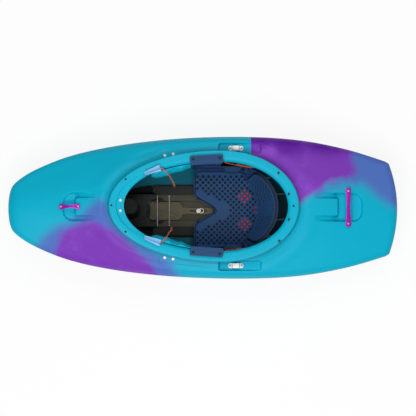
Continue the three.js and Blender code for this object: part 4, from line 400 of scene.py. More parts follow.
def rim_rings(rays):
    """The folded rim: up the neck, out under the flange, over it with soft edges, and down the skirt.

    A step is its inset and drop, or both at the side and at the shelf in front: inset, inset, drop, drop.
    """
    roof, neck, lip = RIM_THICK + ROLL, NECK_INSET + WALL, 2 * LIP_ROUND
    skirt, shelf = MOUTH_INSET - WALL, SHELF_INSET - WALL
    soft = LIP_ROUND * 0.3
    steps = [
        (NECK_INSET, RIM_THICK + 3), (NECK_INSET - 1.5, RIM_THICK), (lip + 1, RIM_THICK), (lip, RIM_THICK + 1),
        (lip, RIM_LIP - 1), (LIP_ROUND, RIM_LIP), (0, RIM_LIP - 1.2), (0, lip), (soft, LIP_ROUND), (LIP_ROUND, soft),
        (lip, 0), ((RIM_FLANGE + LIP_ROUND) / 2, 0),
        (RIM_FLANGE - 3, RIM_FLANGE - 1, 0, 0),
        (RIM_FLANGE + 1, RIM_FLANGE + LIP_ROUND * 0.6, soft, soft),
        (RIM_FLANGE + ROLL, RIM_FLANGE + lip, LIP_ROUND, SHELF_STEP - 1),
        (RIM_FLANGE + ROLL + 2, RIM_FLANGE + lip + 2, LIP_ROUND + 1, SHELF_STEP),
        (MOUTH_INSET - LIP_ROUND, SHELF_INSET - lip, ROLL + LIP_ROUND, SHELF_STEP),
        (MOUTH_INSET - soft, SHELF_INSET - soft, ROLL + LIP_ROUND + 2, SHELF_STEP + soft),
        (MOUTH_INSET, SHELF_INSET, 2 * ROLL, SHELF_STEP + LIP_ROUND),
        (MOUTH_INSET, SHELF_INSET, SKIRT_DEPTH / 2 + ROLL, SKIRT_DEPTH / 2 + ROLL),
        (MOUTH_INSET, SHELF_INSET, SKIRT_DEPTH - LIP_ROUND, SKIRT_DEPTH - LIP_ROUND),
        (MOUTH_INSET - WALL / 2, SHELF_INSET - WALL / 2, SKIRT_DEPTH, SKIRT_DEPTH),
        (skirt, shelf, SKIRT_DEPTH - LIP_ROUND, SKIRT_DEPTH - LIP_ROUND),
        (skirt, shelf, roof + 1, roof + LIP_ROUND + 1), (skirt - 1, shelf - 1, roof, roof + LIP_ROUND),
        (neck + 1, neck + 1, roof, roof + LIP_ROUND),
    ]
    return [rim_ring(rays, *(step if len(step) == 4 else (step[0], *step, step[1]))) for step in steps]


# ---------------------------------------------------------------- shader helpers


class Wire:
    """A value in a material's nodes; arithmetic on it adds Math nodes."""

    def __init__(self, tree, socket):
        self.tree, self.socket = tree, socket

    def math(self, operation, *values, clamp=False):
        return put(self.tree, "Math", (self, *values), operation=operation, use_clamp=clamp)

    def __add__(self, other):
        return self.math("ADD", other)

    def __sub__(self, other):
        return self.math("SUBTRACT", other)

    def __rsub__(self, other):
        return put(self.tree, "Math", (other, self), operation="SUBTRACT")

    def __mul__(self, other):
        return self.math("MULTIPLY", other)

    def __truediv__(self, other):
        return self.math("DIVIDE", other)

    def __rtruediv__(self, other):
        return put(self.tree, "Math", (other, self), operation="DIVIDE")

    def __pow__(self, other):
        return self.math("POWER", other)

    def ramp(self, low, high):
        """0 below low, 1 above high, smooth between."""
        return put(self.tree, "MapRange", {"Value": self, "From Min": low, "From Max": high}, "Result",
                   interpolation_type="SMOOTHSTEP")

    def mix(self, first, second):
        """The colour that goes from first to second with this value."""
        return put(self.tree, "Mix", {0: self, 6: first, 7: second}, 2, data_type="RGBA")

    def stretched(self, by):
        return put(self.tree, "VectorMath", (self, by), "Vector", operation="MULTIPLY")

    def parts(self):
        """The X, Y and Z of a vector."""
        node = self.tree.nodes.new("ShaderNodeSeparateXYZ")
        feed(node.inputs[0], self)
        return [Wire(self.tree, socket) for socket in node.outputs]


def feed(socket, given):
    """Sets a socket to a plain value or colour, or links a wire to it."""
    if isinstance(given, Wire):
        given.tree.links.new(given.socket, socket)
    else:
        socket.default_value = (*given[:3], 1) if socket.type == "RGBA" else given


def put(tree, kind, inputs=(), output=0, **settings):
    """Adds a node with its settings and its inputs, by number or name; returns one of its outputs."""
    node = tree.nodes.new("ShaderNode" + kind)
    for name, value in settings.items():
        setattr(node, name, value)
    for place, given in inputs.items() if isinstance(inputs, dict) else enumerate(inputs):
        feed(node.inputs[place], given)
    return Wire(tree, node.outputs[output])


def noise_of(place, scale, detail, roughness=0.5):
    return put(place.tree, "TexNoise", {"Vector": place, "Scale": scale, "Detail": detail, "Roughness": roughness},
               "Fac")


def scaled(colour, factor, lift=0.0):
    return tuple(min(1.0, c * factor + lift) for c in colour)


# ---------------------------------------------------------------- shared shader groups

GROUPS = {}


def new_group(name, **numbers):
    """A shader node group with a vector and named numbers as inputs; returns it and its inputs."""
    group = GROUPS[name] = bpy.data.node_groups.new(name, "ShaderNodeTree")
    group.interface.new_socket(name="Vector", in_out="INPUT", socket_type="NodeSocketVector")
    for label, default in numbers.items():
        made = group.interface.new_socket(name=label, in_out="INPUT", socket_type="NodeSocketFloat")
        made.default_value = default
    return group, [Wire(group, socket) for socket in group.nodes.new("NodeGroupInput").outputs]


def close_group(group, **outputs):
    """Makes the group's outputs and links their values to them."""
    for label in outputs:
        group.interface.new_socket(name=label, in_out="OUTPUT", socket_type="NodeSocketFloat")
    node = group.nodes.new("NodeGroupOutput")
    for label, value in outputs.items():
        feed(node.inputs[label], value)


def make_groups():
    """Fine grain, long faint scratches, and paler rubbed edges from how pointed the surface is."""
    group, (place, grain_size, cloud_size, *_) = new_group("surface_grain", Grain_Size=0.002, Cloud_Size=0.12)
    fine = noise_of(place, 1.0 / grain_size, 3.0)
    close_group(group, Height=fine + noise_of(place, 0.2 / grain_size, 2.0) * 0.7,
                Cloud=noise_of(place, 1.0 / cloud_size, 3.0), Speck=fine.ramp(0.62, 0.72))

    group, (place, amount, *_) = new_group("scuff_marks", Amount=0.5)
    lines = noise_of(place.stretched((9.0, 150.0, 150.0)), 1.0, 4.0, 0.6).ramp(0.60, 0.68)
    mask = lines * noise_of(place, 7.0, 2.0).ramp(0.5, 0.62)
    close_group(group, Mask=mask.math("MULTIPLY", amount, clamp=True))

    group, (place, amount, *_) = new_group("edge_wear", Amount=0.5)
    edge = put(group, "NewGeometry", output="Pointiness").ramp(0.53, 0.6)
    mask = edge * noise_of(place, 90.0, 3.0).ramp(0.35, 0.6)
    close_group(group, Mask=mask.math("MULTIPLY", amount, clamp=True))


def place_group(place, name, **numbers):
    """Places a group in a material; returns its outputs by name."""
    node = place.tree.nodes.new("ShaderNodeGroup")
    node.node_tree = GROUPS[name]
    feed(node.inputs["Vector"], place)
    for label, value in numbers.items():
        node.inputs[label].default_value = value
    return {socket.name: Wire(place.tree, socket) for socket in node.outputs}


# ---------------------------------------------------------------- materials

MATERIALS = {}


def new_material(name, **values):
    """A Principled material with its plain values; returns its tree and its object coordinates."""
    material = MATERIALS[name] = bpy.data.materials.new(name)
    material.use_nodes = True
    tree = material.node_tree
    for label, value in values.items():
        tree.nodes["Principled BSDF"].inputs[label.replace("_", " ")].default_value = value
    return tree, put(tree, "TexCoord", output="Object")


def finish(tree, base, rough, height, distance):
    """Feeds a material's shader with its colour, roughness and bumps."""
    bump = put(tree, "Bump", {"Strength": 1.0, "Distance": distance, "Height": height}, "Normal")
    for label, value in (("Base Color", base), ("Roughness", rough), ("Normal", bump)):
        feed(tree.nodes["Principled BSDF"].inputs[label], value)


def two_tone(name, colour, roughness, grain_size=0.002, bump=0.0001, cloud=0.12, wear=0.4, pale=1.35, **values):
    """Moulded or painted finish: slow colour drift, fine grain, paler rubbed edges."""
    tree, place = new_material(name, Specular_IOR_Level=0.2, **values)
    grain = place_group(place, "surface_grain", Grain_Size=grain_size, Cloud_Size=cloud)
    worn = scaled(colour, pale, 0.03)
    base = grain["Cloud"].mix(scaled(colour, 0.86), scaled(colour, 1.1, 0.004))
    base = (grain["Speck"] * 0.18).mix(base, worn)
    base = place_group(place, "edge_wear", Amount=wear)["Mask"].mix(base, worn)
    finish(tree, base, grain["Cloud"] * 0.12 + (roughness - 0.06), grain["Height"], bump)


def past_rim(x, y):
    """Distance from the rim's outline in plan, positive outside it."""
    along = x - RIM_CENTRE * MM
    reach = along.math("GREATER_THAN", 0.0) * ((RIM_FRONT - RIM_REAR) * MM) + RIM_REAR * MM
    share = ((along / reach) ** 2.0 + (y / (RIM_HALF_WIDTH * MM)) ** 2.0) ** 0.5
    radius = (along ** 2.0 + y ** 2.0) ** 0.5
    return radius - radius / share


def hull_material():
    """Two powders run together in the mould: cyan, with violet at the stern's right and the bow's left."""
    hull = bpy.context.scene.kayak_hull
    cyan, blend = hull.body_colour, hull.blend_colour
    tree, place = new_material("hull_two_colour", Specular_IOR_Level=0.16)
    x, y, z = place.parts()
    # The attribute's third part marks the cavity's inner skin, for the painted shade below.
    in_violet, in_mix, inside = put(tree, "Attribute", output="Vector", attribute_name="powder_reach_and_shade").parts()
    slow, quick = noise_of(place, 7.0, 3.0) - 0.5, noise_of(place, 34.0, 3.0, 0.6) - 0.5
    drift = slow * 0.07 + quick * 0.018
    past = past_rim(x, y)
    keep = (1.0 - x.ramp(-0.213, -0.209)).math("MAXIMUM", x.ramp(0.02, 0.14)) * past.ramp(-0.001, 0.005)
    # Painted shade: a narrow dark line just outside the rim, where it meets the deck.
    foot = ((past - 0.003).math("ABSOLUTE") * -150.0).math("ADD", 1.0, clamp=True) * z.ramp(0.2, 0.21)
    grain = place_group(place, "surface_grain", Grain_Size=0.0016, Cloud_Size=0.35)
    scuff = place_group(place, "scuff_marks", Amount=0.08)["Mask"]
    base = grain["Cloud"].mix(scaled(cyan, 0.94), scaled(cyan, 1.05))
    base = ((in_mix + drift).ramp(-0.035, 0.035) * keep * 0.85).mix(base, hull.mix_colour)
    # Painted shade: the violet darkens towards the starboard edge, the side turned away from the key lamp.
    edge = (y + slow * 0.16).ramp(-0.3, -0.215)
    tone = edge.mix([c * f for c, f in zip(blend, (0.5, 0.12, 0.66))], blend)
    tone = ((quick + slow * 2.2).ramp(-0.1, 0.55) * edge * 0.55).mix(tone, scaled(blend, 1.3, 0.02))
    base = ((in_violet + drift).ramp(-0.02, 0.022) * keep).mix(base, tone)
    base = scuff.mix(base, scaled(cyan, 1.25, 0.03))
    # Painted shade: the cavity's inner skin and a thin line at the rim's foot darken towards near-black teal.
    base = (inside * 0.72).math("MAXIMUM", foot * 0.36).mix(base, (0.0, 0.012, 0.016))
    rough = (grain["Cloud"] * 0.1 + (hull.roughness - 0.05)).math("ADD", scuff * 0.25, clamp=True)
    finish(tree, base, rough, grain["Height"], 0.00012)


RED_CLUSTERS = ((-0.1855, -0.0618, 0.029), (-0.1855, 0.0618, 0.029), (-0.2405, 0.0, 0.0165))
CLUSTER_LOW, CLUSTER_TOP = 0.05, 0.07


def perforated_material(name, clusters=()):
    """Padded navy foam, darkened in its holes as painted shade; in a few clusters of holes the red layer below shows.

    A cluster is its place in plan and its radius round an upright line.
    """
    pad = bpy.context.scene.kayak_seat.pad_colour
    tree, place = new_material(name, Specular_IOR_Level=0.3)
    sunk = put(tree, "Attribute", output="Fac", attribute_name="hole_depth")
    grain = place_group(place, "surface_grain", Grain_Size=0.0011, Cloud_Size=0.09)
    # Painted shade: the holes darken almost to black with their depth.
    base = sunk.mix(grain["Cloud"].mix(scaled(pad, 0.78), scaled(pad, 1.22)), scaled(pad, 0.08))
    level = place.parts()[2].math("MAXIMUM", CLUSTER_LOW).math("MINIMUM", CLUSTER_TOP)
    for x, y, radius in clusters:
        centre = put(tree, "CombineXYZ", (x, y, level))
        away = put(tree, "VectorMath", (place, centre), "Value", operation="DISTANCE")
        red = (1.0 - away.ramp(radius - 0.003, radius + 0.003)) * sunk ** 4.0
        base = red.mix(base, srgb(214, 34, 44))
    finish(tree, base, grain["Cloud"] * 0.2 + 0.56, grain["Height"], 0.00015)


def foam_material():
    """Closed-cell foam: small open cells cut through at the surface."""
    colour = bpy.context.scene.kayak_fittings.foam_colour
    tree, place = new_material("closed_cell_foam", Sheen_Weight=0.05)
    cells = put(tree, "TexVoronoi", {"Vector": place, "Scale": 420.0}, "Distance", feature="F1")
    cloud = place_group(place, "surface_grain", Grain_Size=0.003, Cloud_Size=0.06)["Cloud"]
    base = cells.ramp(0.25, 0.6).mix(cloud.mix(scaled(colour, 0.7), scaled(colour, 1.3)), scaled(colour, 1.6))
    finish(tree, base, (cloud * 0.14).math("ADD", 0.84, clamp=True), cells, 0.0005)


def metal_material(name, colour, roughness, brushed, metallic):
    """Brushed or anodised metal: fine lines, slight blotches, brighter rubbed edges."""
    tree, place = new_material(name, Metallic=metallic)
    lines = noise_of(place.stretched(brushed), 1.0, 3.0, 0.6)
    cloud = place_group(place, "surface_grain", Grain_Size=0.004, Cloud_Size=0.02)["Cloud"]
    base = (cloud * 0.25).mix(lines.mix(scaled(colour, 0.88), scaled(colour, 1.08)), scaled(colour, 0.8))
    base = place_group(place, "edge_wear", Amount=0.6)["Mask"].mix(base, scaled(colour, 1.2, 0.06))
    finish(tree, base, lines * 0.12 + (roughness - 0.05), lines, 0.00004)


def cord_material(name, main, fleck, second):
    """Braided cord: strands crossing both ways, with flecks in two colours, along the cord's own UVs."""
    tree, _ = new_material(name, Sheen_Weight=0.25, Sheen_Roughness=0.4)
    along, turn, _ = put(tree, "UVMap", output="UV", uv_map="along_and_round").parts()
    whole = 2 * pi

    def strands(way, offset):
        return ((turn * (4.0 * way) + along * 330.0 + offset) * whole).math("SINE") * 0.5 + 0.5

    weave = strands(1, 0.0).math("MAXIMUM", strands(-1, 0.25))
    ticks, other = along * 1150.0 + turn * whole, along * 830.0 + turn * -whole
    base = other.math("SINE").ramp(0.2, 0.6).mix(main, second)
    base = ticks.math("SINE").ramp(0.35, 0.7).mix(base, fleck)
    # Painted shade: darker in the grooves between the strands.
    base = (1.0 - weave.ramp(0.5, 0.9)).mix(base, scaled(main, 0.35))
    finish(tree, base, weave * 0.2 + 0.62, weave, 0.0005)


def cleat_material():
    colour = bpy.context.scene.kayak_fittings.cleat_colour
    tree, place = new_material("pale_cleat_plastic", IOR=1.5, Subsurface_Weight=0.12, Subsurface_Scale=0.004)
    grain = place_group(place, "surface_grain", Grain_Size=0.0016, Cloud_Size=0.03)
    base = grain["Cloud"].mix(scaled(colour, 0.75), scaled(colour, 1.2))
    base = place_group(place, "edge_wear", Amount=0.7)["Mask"].mix(base, (0.75, 0.85, 0.92))
    finish(tree, base, grain["Cloud"] * 0.16 + 0.22, grain["Height"], 0.0001)


def make_materials(scene):
    """Every finish of the boat, from the settings."""
    seat, fittings = scene.kayak_seat, scene.kayak_fittings
    make_groups()
    hull_material()
    foam_material()
    cleat_material()
    perforated_material("seat_pad_foam", RED_CLUSTERS)
    perforated_material("backband_foam")
    for name, colour, *rest in (
            ("brace_plastic", scene.kayak_hull.body_colour, 0.42, 0.0016, 0.00012, 0.2, 0.3, 1.2),
            ("navy_plastic", seat.plastic_colour, 0.5, 0.0014, 0.00012, 0.07, 0.35),
            ("hanger_plastic", srgb(28, 68, 112), 0.46, 0.0014, 0.00012, 0.05, 0.4),
            ("navy_foam", scaled(seat.pad_colour, 0.75), 0.72, 0.001, 0.0002, 0.05, 0.2),
            ("tray_plastic", fittings.tray_colour, 0.6, 0.0015, 0.00018, 0.05, 0.5),
            ("black_plastic", srgb(17, 18, 19), 0.5, 0.0013, 0.00015, 0.05, 0.4, 1.8),
            ("tray_base_plastic", srgb(70, 70, 57), 0.6, 0.0013, 0.00015, 0.05, 0.4, 1.6),
            ("black_foam", srgb(15, 15, 16), 0.88, 0.001, 0.0002, 0.05, 0.2),
            ("charcoal_plastic", srgb(40, 42, 41), 0.6, 0.0013, 0.00015, 0.05, 0.4, 1.6)):
        two_tone(name, colour, *rest)
    two_tone("dark_metal", srgb(46, 42, 40), 0.42, 0.001, 0.00006, 0.02, 0.5, 2.0, Metallic=0.6)
    metal_material("brushed_steel", srgb(246, 246, 242), 0.3, (60.0, 900.0, 900.0), 0.1)
    metal_material("rod_steel", srgb(176, 178, 178), 0.36, (900.0, 60.0, 900.0), 0.4)
    metal_material("anodised_magenta", fittings.handle_colour, 0.27, (700.0, 700.0, 120.0), 0.35)
    cord_material("orange_braid", fittings.cord_colour, fittings.fleck_colour, srgb(240, 160, 60))
    cord_material("black_braid", srgb(26, 26, 28), srgb(12, 12, 13), srgb(58, 58, 60))


# ---------------------------------------------------------------- mesh helpers

WELD = 0.00002


def linked(name, data):
    """A new object in the scene."""
    made = bpy.data.objects.new(name, data)
    bpy.context.scene.collection.objects.link(made)
    return made


def finished(name, mesh, material):
    """The mesh as a smooth object of one material."""
    mesh.materials.clear()
    mesh.materials.append(MATERIALS[material])
    for face in mesh.polygons:
        face.use_smooth = True
    return linked(name, mesh)


def form_of(points, faces):
    """A form that can be worked on, from points and faces."""
    form = bmesh.new()
    made = [form.verts.new(p) for p in points]
    for face in faces:
        form.faces.new([made[i] for i in face])
    return form


def form_from(*meshes):
    form = bmesh.new()
    for mesh in meshes:
        form.from_mesh(mesh)
    return form


def written(form, mesh):
    """The mesh once the form, which is used up, is written into it."""
    form.to_mesh(mesh)
    form.free()
    return mesh


def round_edges(form, width, segments, angle, **miter):
    """Rounds the edges of a form that turn by more than an angle."""
    sharp = [e for e in form.edges if len(e.link_faces) == 2 and e.calc_face_angle(0) > radians(angle)]
    bmesh.ops.bevel(form, geom=sharp, offset=width * MM, offset_type="OFFSET", segments=segments, profile=0.5,
                    affect="EDGES", clamp_overlap=True, **miter)


def surface_of(mesh):
    """A mesh's surface, for rays."""
    return BVHTree.FromPolygons([v.co for v in mesh.vertices], [p.vertices for p in mesh.polygons])


def show(name, mesh, body, material, replaces=(), crease=40.0):
    """A finished piece: the mesh as an object that rides on a body and stands for its solids."""
    piece = finished(name, mesh, material)
    mesh.set_sharp_from_angle(angle=radians(crease))
    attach(piece, body)
    if replaces:
        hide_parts(*replaces)
    return piece


def mesh_of(name, points, faces):
    """A mesh from points in millimetres, with its faces turned outwards."""
    mesh = bpy.data.meshes.new(name)
    mesh.from_pydata([tuple(c * MM for c in p) for p in points], [], faces)
    mesh.update()
    form = form_from(mesh)
    bmesh.ops.recalc_face_normals(form, faces=form.faces)
    return written(form, mesh)


def ring_faces(rings, count, closed=True):
    """Quads between rings of points, one ring after another."""
    faces = []
    for j in range(rings - 1):
        for i in range(count if closed else count - 1):
            k = (i + 1) % count
            faces.append((j * count + i, j * count + k, (j + 1) * count + k, (j + 1) * count + i))
    return faces


def circle(count, shift=0.0):
    """Cosine and sine of evenly spread angles."""
    angles = [2 * pi * (i + shift) / count for i in range(count)]
    return [(cos(angle), sin(angle)) for angle in angles]


def turned(name, profile, sides=28):
    """A mesh turned about Z from a profile of radius and height that starts and ends on the axis."""
    points = [(0, 0, profile[0][1])]
    for r, z in profile[1:-1]:
        points += [(r * c, r * s, z) for c, s in circle(sides)]
    points.append((0, 0, profile[-1][1]))
    last = len(points) - 1
    faces = [(0, 1 + (i + 1) % sides, 1 + i) for i in range(sides)]
    faces += [tuple(1 + k for k in face) for face in ring_faces(len(profile) - 2, sides)]
    faces += [(last, last - sides + i, last - sides + (i + 1) % sides) for i in range(sides)]
    return mesh_of(name, points, faces)


def frames_along(line):
    """Tangent, side and up at each point of a line, without twist."""
    last = len(line) - 1
    tangents = [(line[min(last, i + 1)] - line[max(0, i - 1)]).normalized() for i in range(last + 1)]
    up = Vector((0, 0, 1))
    if abs(tangents[0].dot(up)) > 0.9:
        up = Vector((0, 1, 0))
    out = []
    for tangent in tangents:
        side = tangent.cross(up).normalized()
        up = side.cross(tangent).normalized()
        out.append((tangent, side, up))
    return out


def tube_mesh(name, line, radius, sides=12, caps=0.6, radii=None):
    """A round cord along a line, with rounded ends and UVs that run along and round it, in metres and turns."""
    line = [Vector(p) for p in line]
    frames = frames_along(line)
    ends = [(-caps, 0.0), (-caps * 0.7, 0.7)] if caps else []
    start = [(line[0] + frames[0][0] * back * radius, frames[0], size) for back, size in ends]
    end = [(line[-1] - frames[-1][0] * back * radius, frames[-1], size) for back, size in ends]
    stations = start + [(p, f, 1.0) for p, f in zip(line, frames)] + end[::-1]
    rings, lengths, run = [], [], 0.0
    previous = stations[0][0]
    for k, (p, (_, side, up), size) in enumerate(stations):
        run += (p - previous).length * MM
        previous = p
        lengths.append(run)
        at = k - len(start)
        r = radii[at] if radii and 0 <= at < len(line) else radius * max(size, 0.05)
        rings.append([p + side * (r * c) + up * (r * s) for c, s in circle(sides)])
    points = [tuple(p) for ring in rings for p in ring]
    faces = ring_faces(len(rings), sides)
    faces.append(tuple(range(sides - 1, -1, -1)))
    faces.append(tuple(len(points) - sides + i for i in range(sides)))
    mesh = mesh_of(name, points, faces)
    layer = mesh.uv_layers.new(name="along_and_round")
    for face in mesh.polygons:
        turns = [mesh.loops[i].vertex_index % sides for i in face.loop_indices]
        wraps = max(turns) - min(turns) > sides / 2
        for i, turn in zip(face.loop_indices, turns):
            length = lengths[mesh.loops[i].vertex_index // sides]
            layer.data[i].uv = (length, 1.0 if wraps and turn == 0 else turn / sides)
    return mesh


def rounded_copy(node, width, segments=2, angle=32.0):
    """A node's own form with its sharp edges rounded over."""
    form = form_from(NODES[node].data)
    bmesh.ops.remove_doubles(form, verts=form.verts, dist=WELD)
    bmesh.ops.dissolve_limit(form, angle_limit=radians(2), verts=form.verts, edges=form.edges)
    round_edges(form, width, segments, angle, miter_outer="ARC")
    return written(form, bpy.data.meshes.new(node))


def grid_solid(name, front, back):
    """A closed mesh between two grids of points that face each other."""
    m, n = len(front), len(front[0])
    points = [p for row in front for p in row] + [p for row in back for p in row]
    faces = []
    for i in range(m - 1):
        for j in range(n - 1):
            a, b = i * n + j, m * n + i * n + j
            faces.append((a, a + n, a + n + 1, a + 1))
            faces.append((b, b + 1, b + n + 1, b + n))
    for i in range(m - 1):
        a, b = i * n, m * n + i * n
        faces.append((a, b, b + n, a + n))
        a, b = a + n - 1, b + n - 1
        faces.append((a, a + n, b + n, b))
    for j in range(n - 1):
        a, b = j, m * n + j
        faces.append((a, a + 1, b + 1, b))
        a, b = (m - 1) * n + j, m * n + (m - 1) * n + j
        faces.append((a, b, b + 1, a + 1))
    return mesh_of(name, points, faces)


def soften(mesh, width, segments=2, angle=40.0):
    """Rounds the sharp edges of a mesh in place."""
    form = form_from(mesh)
    round_edges(form, width, segments, angle)
    return written(form, mesh)


def joined(name, meshes):
    """Several meshes as one."""
    out = written(form_from(*meshes), bpy.data.meshes.new(name))
    for mesh in meshes:
        bpy.data.meshes.remove(mesh)
    return out


def mirrored(mesh, name):
    """The same form on the other side of the boat."""
    out = mesh.copy()
    out.name = name
    out.transform(Matrix.Diagonal((1, -1, 1, 1)))
    out.flip_normals()
    return out


def rect_depth(x, y, x0, x1, y0, y1, radius):
    """How far a point lies inside a rounded rectangle; negative outside."""
    cx, cy = (x0 + x1) / 2, (y0 + y1) / 2
    qx, qy = abs(x - cx) - (x1 - x0) / 2 + radius, abs(y - cy) - (y1 - y0) / 2 + radius
    return radius - min(max(qx, qy), 0.0) - hypot(max(qx, 0.0), max(qy, 0.0))


# ---------------------------------------------------------------- the moulded shell

POCKET = dict(x0=-255.0, x1=-70.0, y0=240.0, y1=280.0, radius=8.0, floor=241.324)
BOWL_HALF, BOWL_DEPTH, BOWL_ROUND, BOWL_END_SHARE = 60.0, 26.0, 42.0, 0.65
TONGUE_HALF, TONGUE_ROUND, OVERRUN = 40.0, 10.0, 10.0
PANEL = dict(front=196.0, rear=-26.0, outer_front=244.0, outer_rear=268.0, depth=3.0)
POCKET_ZONE, PANEL_ZONE = (-268, -56, 228, 292), (-40, 208, 190, 278)
SKIN_GAP = 1.2


def bowl_of(start, tongue, end):
    """A finger bowl: the line of its floor, and the spans along the boat of its hollow and of its tongue."""
    way = copysign(1, end - start)
    back, rest = start - way * (OVERRUN + BOWL_ROUND), start - way * (2 * OVERRUN + BOWL_ROUND)
    line = [
        (start - way * OVERRUN, deck_height(start, 0) + OVERRUN), (start, deck_height(start, 0)),
        (tongue, deck_height(tongue, 0) - BOWL_DEPTH), (end, deck_height(end, 0) - BOWL_DEPTH * BOWL_END_SHARE),
    ]
    return dict(open=start, end=end, way=way, line=line, hollow=sorted((back, end)), tongue=sorted((tongue, rest)))


BOWLS = [bowl_of(-486.0, -595.0, -702.0), bowl_of(455.0, 562.0, 614.0)]


def bowl_floor(bowl, x):
    """Height of a finger bowl's floor, or None short of its open end."""
    line = bowl["line"]
    for (ax, az), (bx, bz) in zip(line, line[1:]):
        t = (x - ax) / (bx - ax)
        if 0 <= t <= 1:
            return lerp(az, bz, t)
    return line[-1][1] if (x - bowl["end"]) * bowl["way"] > 0 else None


def recessed(x, y, z, soft):
    """Deck height at a point once the recesses are pressed into it."""
    side = abs(y)
    if -275 < x < -50 and 225 < side < 300:
        inside = rect_depth(x, side, POCKET["x0"], POCKET["x1"], POCKET["y0"], POCKET["y1"], POCKET["radius"])
        z = min(z, lerp(z, POCKET["floor"], smooth(-soft / 2, soft / 2, inside)))
    for bowl in BOWLS:
        low, high = bowl["hollow"]
        if not (low - 20 < x < high + 20 and side < BOWL_HALF + 20):
            continue
        floor = bowl_floor(bowl, x)
        if floor is None:
            continue
        inside = rect_depth(x, y, low, high, -BOWL_HALF, BOWL_HALF, BOWL_ROUND)
        tongue = rect_depth(x, y, *bowl["tongue"], -TONGUE_HALF, TONGUE_HALF, TONGUE_ROUND)
        z = min(z, lerp(z, floor, smooth(-soft, soft, inside) * (1 - smooth(-soft / 2, soft / 2, tongue))))
    front, rear = PANEL["front"], PANEL["rear"]
    if rear - 60 < x < front + 20 and 150 < side < 285:
        margin = lerp(PANEL["outer_rear"], PANEL["outer_front"], (x - rear) / (front - rear)) - side
        corner = 9.0
        inside = min(margin, front - x, 60.0)
        if margin < corner and front - x < corner:
            inside = corner - hypot(corner - margin, corner - (front - x))
        z -= PANEL["depth"] * smooth(rear - 50, rear + 40, x) * smooth(-soft / 2, soft / 2, inside)
    return z


def recess_zones():
    """Plan boxes round the recesses, where the mesh is made finer: x0, x1, y0, y1 of one side."""
    bowls = [(min(bowl["open"], bowl["end"]) - 20, max(bowl["open"], bowl["end"]) + 20, 0, BOWL_HALF + 10)
             for bowl in BOWLS]
    return [POCKET_ZONE, *bowls, PANEL_ZONE]


def hull_mesh():
    """The whole rotomoulded shell, outside, rim and inside, with its recesses."""
    hull = bpy.context.scene.kayak_hull
    rays = hull_rays(HULL_RAYS)
    count = len(rays)
    outside = bottom_rings(rays, 0, 0, [0, 0.25, 0.5, 0.75, 0.93], [0, 0.08, 0.2, 0.35, 0.5, 0.65, 0.8, 0.92, 1])
    outside += deck_rings(rays, 0, 0, NECK_INSET, [0.02, 0.08, 0.18, 0.32, 0.5, 0.7, 0.85, 1],
                          [s / 30 for s in range(29, -1, -1)])
    inside = bottom_rings(rays, WALL, WALL, [0, 0.4, 0.8], [0, 0.15, 0.4, 0.7, 1])
    inside += deck_rings(rays, WALL, WALL, NECK_INSET + WALL, [0.06, 0.3, 0.65, 1], [s / 12 for s in range(11, -1, -1)])
    rings = outside + rim_rings(rays) + inside[::-1]
    points = [p for ring in rings for p in ring] + [(RIM_CENTRE, 0, 0), (RIM_CENTRE, 0, WALL)]
    first, last, end = len(points) - 2, len(points) - 1, (len(rings) - 1) * count
    faces = ring_faces(len(rings), count)
    faces += [(first, (i + 1) % count, i) for i in range(count)]
    faces += [(last, end + i, end + (i + 1) % count) for i in range(count)]
    form = form_of(points, faces)
    zones = recess_zones()
    limit, soft = hull.refine_length / MM, hull.wall_softness / MM

    def deck_side(x, y, z):
        """1 on the deck's outside, -1 on its inside, 0 elsewhere."""
        reach = rim_reach(x) - NECK_INSET - 8
        over = ((x - RIM_CENTRE) / reach) ** 2 + (y / (RIM_HALF_WIDTH - NECK_INSET - 8)) ** 2
        if over < 1 or z < gunwale_height(x) - 8:
            return 0
        gap = z - deck_height(x, y)
        if abs(gap) < SKIN_GAP:
            return 1
        return -1 if abs(gap + WALL) < SKIN_GAP else 0

    def near_zone(x, y, past_x, past_y):
        return any(a - past_x < x < b + past_x and c - past_y <= abs(y) < d + past_y for a, b, c, d in zones)

    for _ in range(5):
        long_edges = []
        for edge in form.edges:
            a, b = edge.verts[0].co, edge.verts[1].co
            m = (a + b) / 2
            if (a - b).length > limit and near_zone(m.x, m.y, 0, 0) and deck_side(m.x, m.y, m.z):
                long_edges.append(edge)
        if not long_edges:
            break
        bmesh.ops.subdivide_edges(form, edges=long_edges, cuts=1, use_grid_fill=True)
    for vertex in form.verts:
        x, y, z = vertex.co
        if near_zone(x, y, 60, 30) and (side := deck_side(x, y, z)):
            drop = 0.0 if side > 0 else WALL
            true = deck_height(x, y) if half_width(x) - abs(y) > EDGE_WIDTH + 4 else z + drop
            vertex.co.z = recessed(x, y, true, soft) - drop
    bmesh.ops.recalc_face_normals(form, faces=form.faces)
    form.transform(Matrix.Scale(MM, 4))
    return written(form, bpy.data.meshes.new("hull"))


# ---------------------------------------------------------------- colour zones and painted shade of the shell

# Outlines in plan, millimetres, of the second powder and of the band where the two run together.
VIOLET_ZONES = [
    [(-150, -330), (-150, -190), (-211, -195), (-280, -165), (-350, -100), (-424, 0), (-471, -58), (-552, -100),
     (-640, -125), (-684, -165), (-656, -245), (-640, -330)],
    [(660, 205), (610, 110), (550, 78), (484, 70), (400, 98), (340, 136), (293, 176), (234, 228), (185, 290),
     (180, 330), (650, 330)],
]
MIX_ZONES = [
    [(-600, -330), (-640, -170), (-500, -55), (-600, -90), (-700, -108), (-800, -50), (-850, 0), (-880, 0),
     (-880, -330)],
    [(730, 170), (640, 90), (560, 58), (500, 5), (455, -25), (420, -20), (395, 45), (300, 145), (195, 190),
     (140, 240), (110, 300), (120, 340), (730, 330)],
]
CAVITY_TOP = 222.0


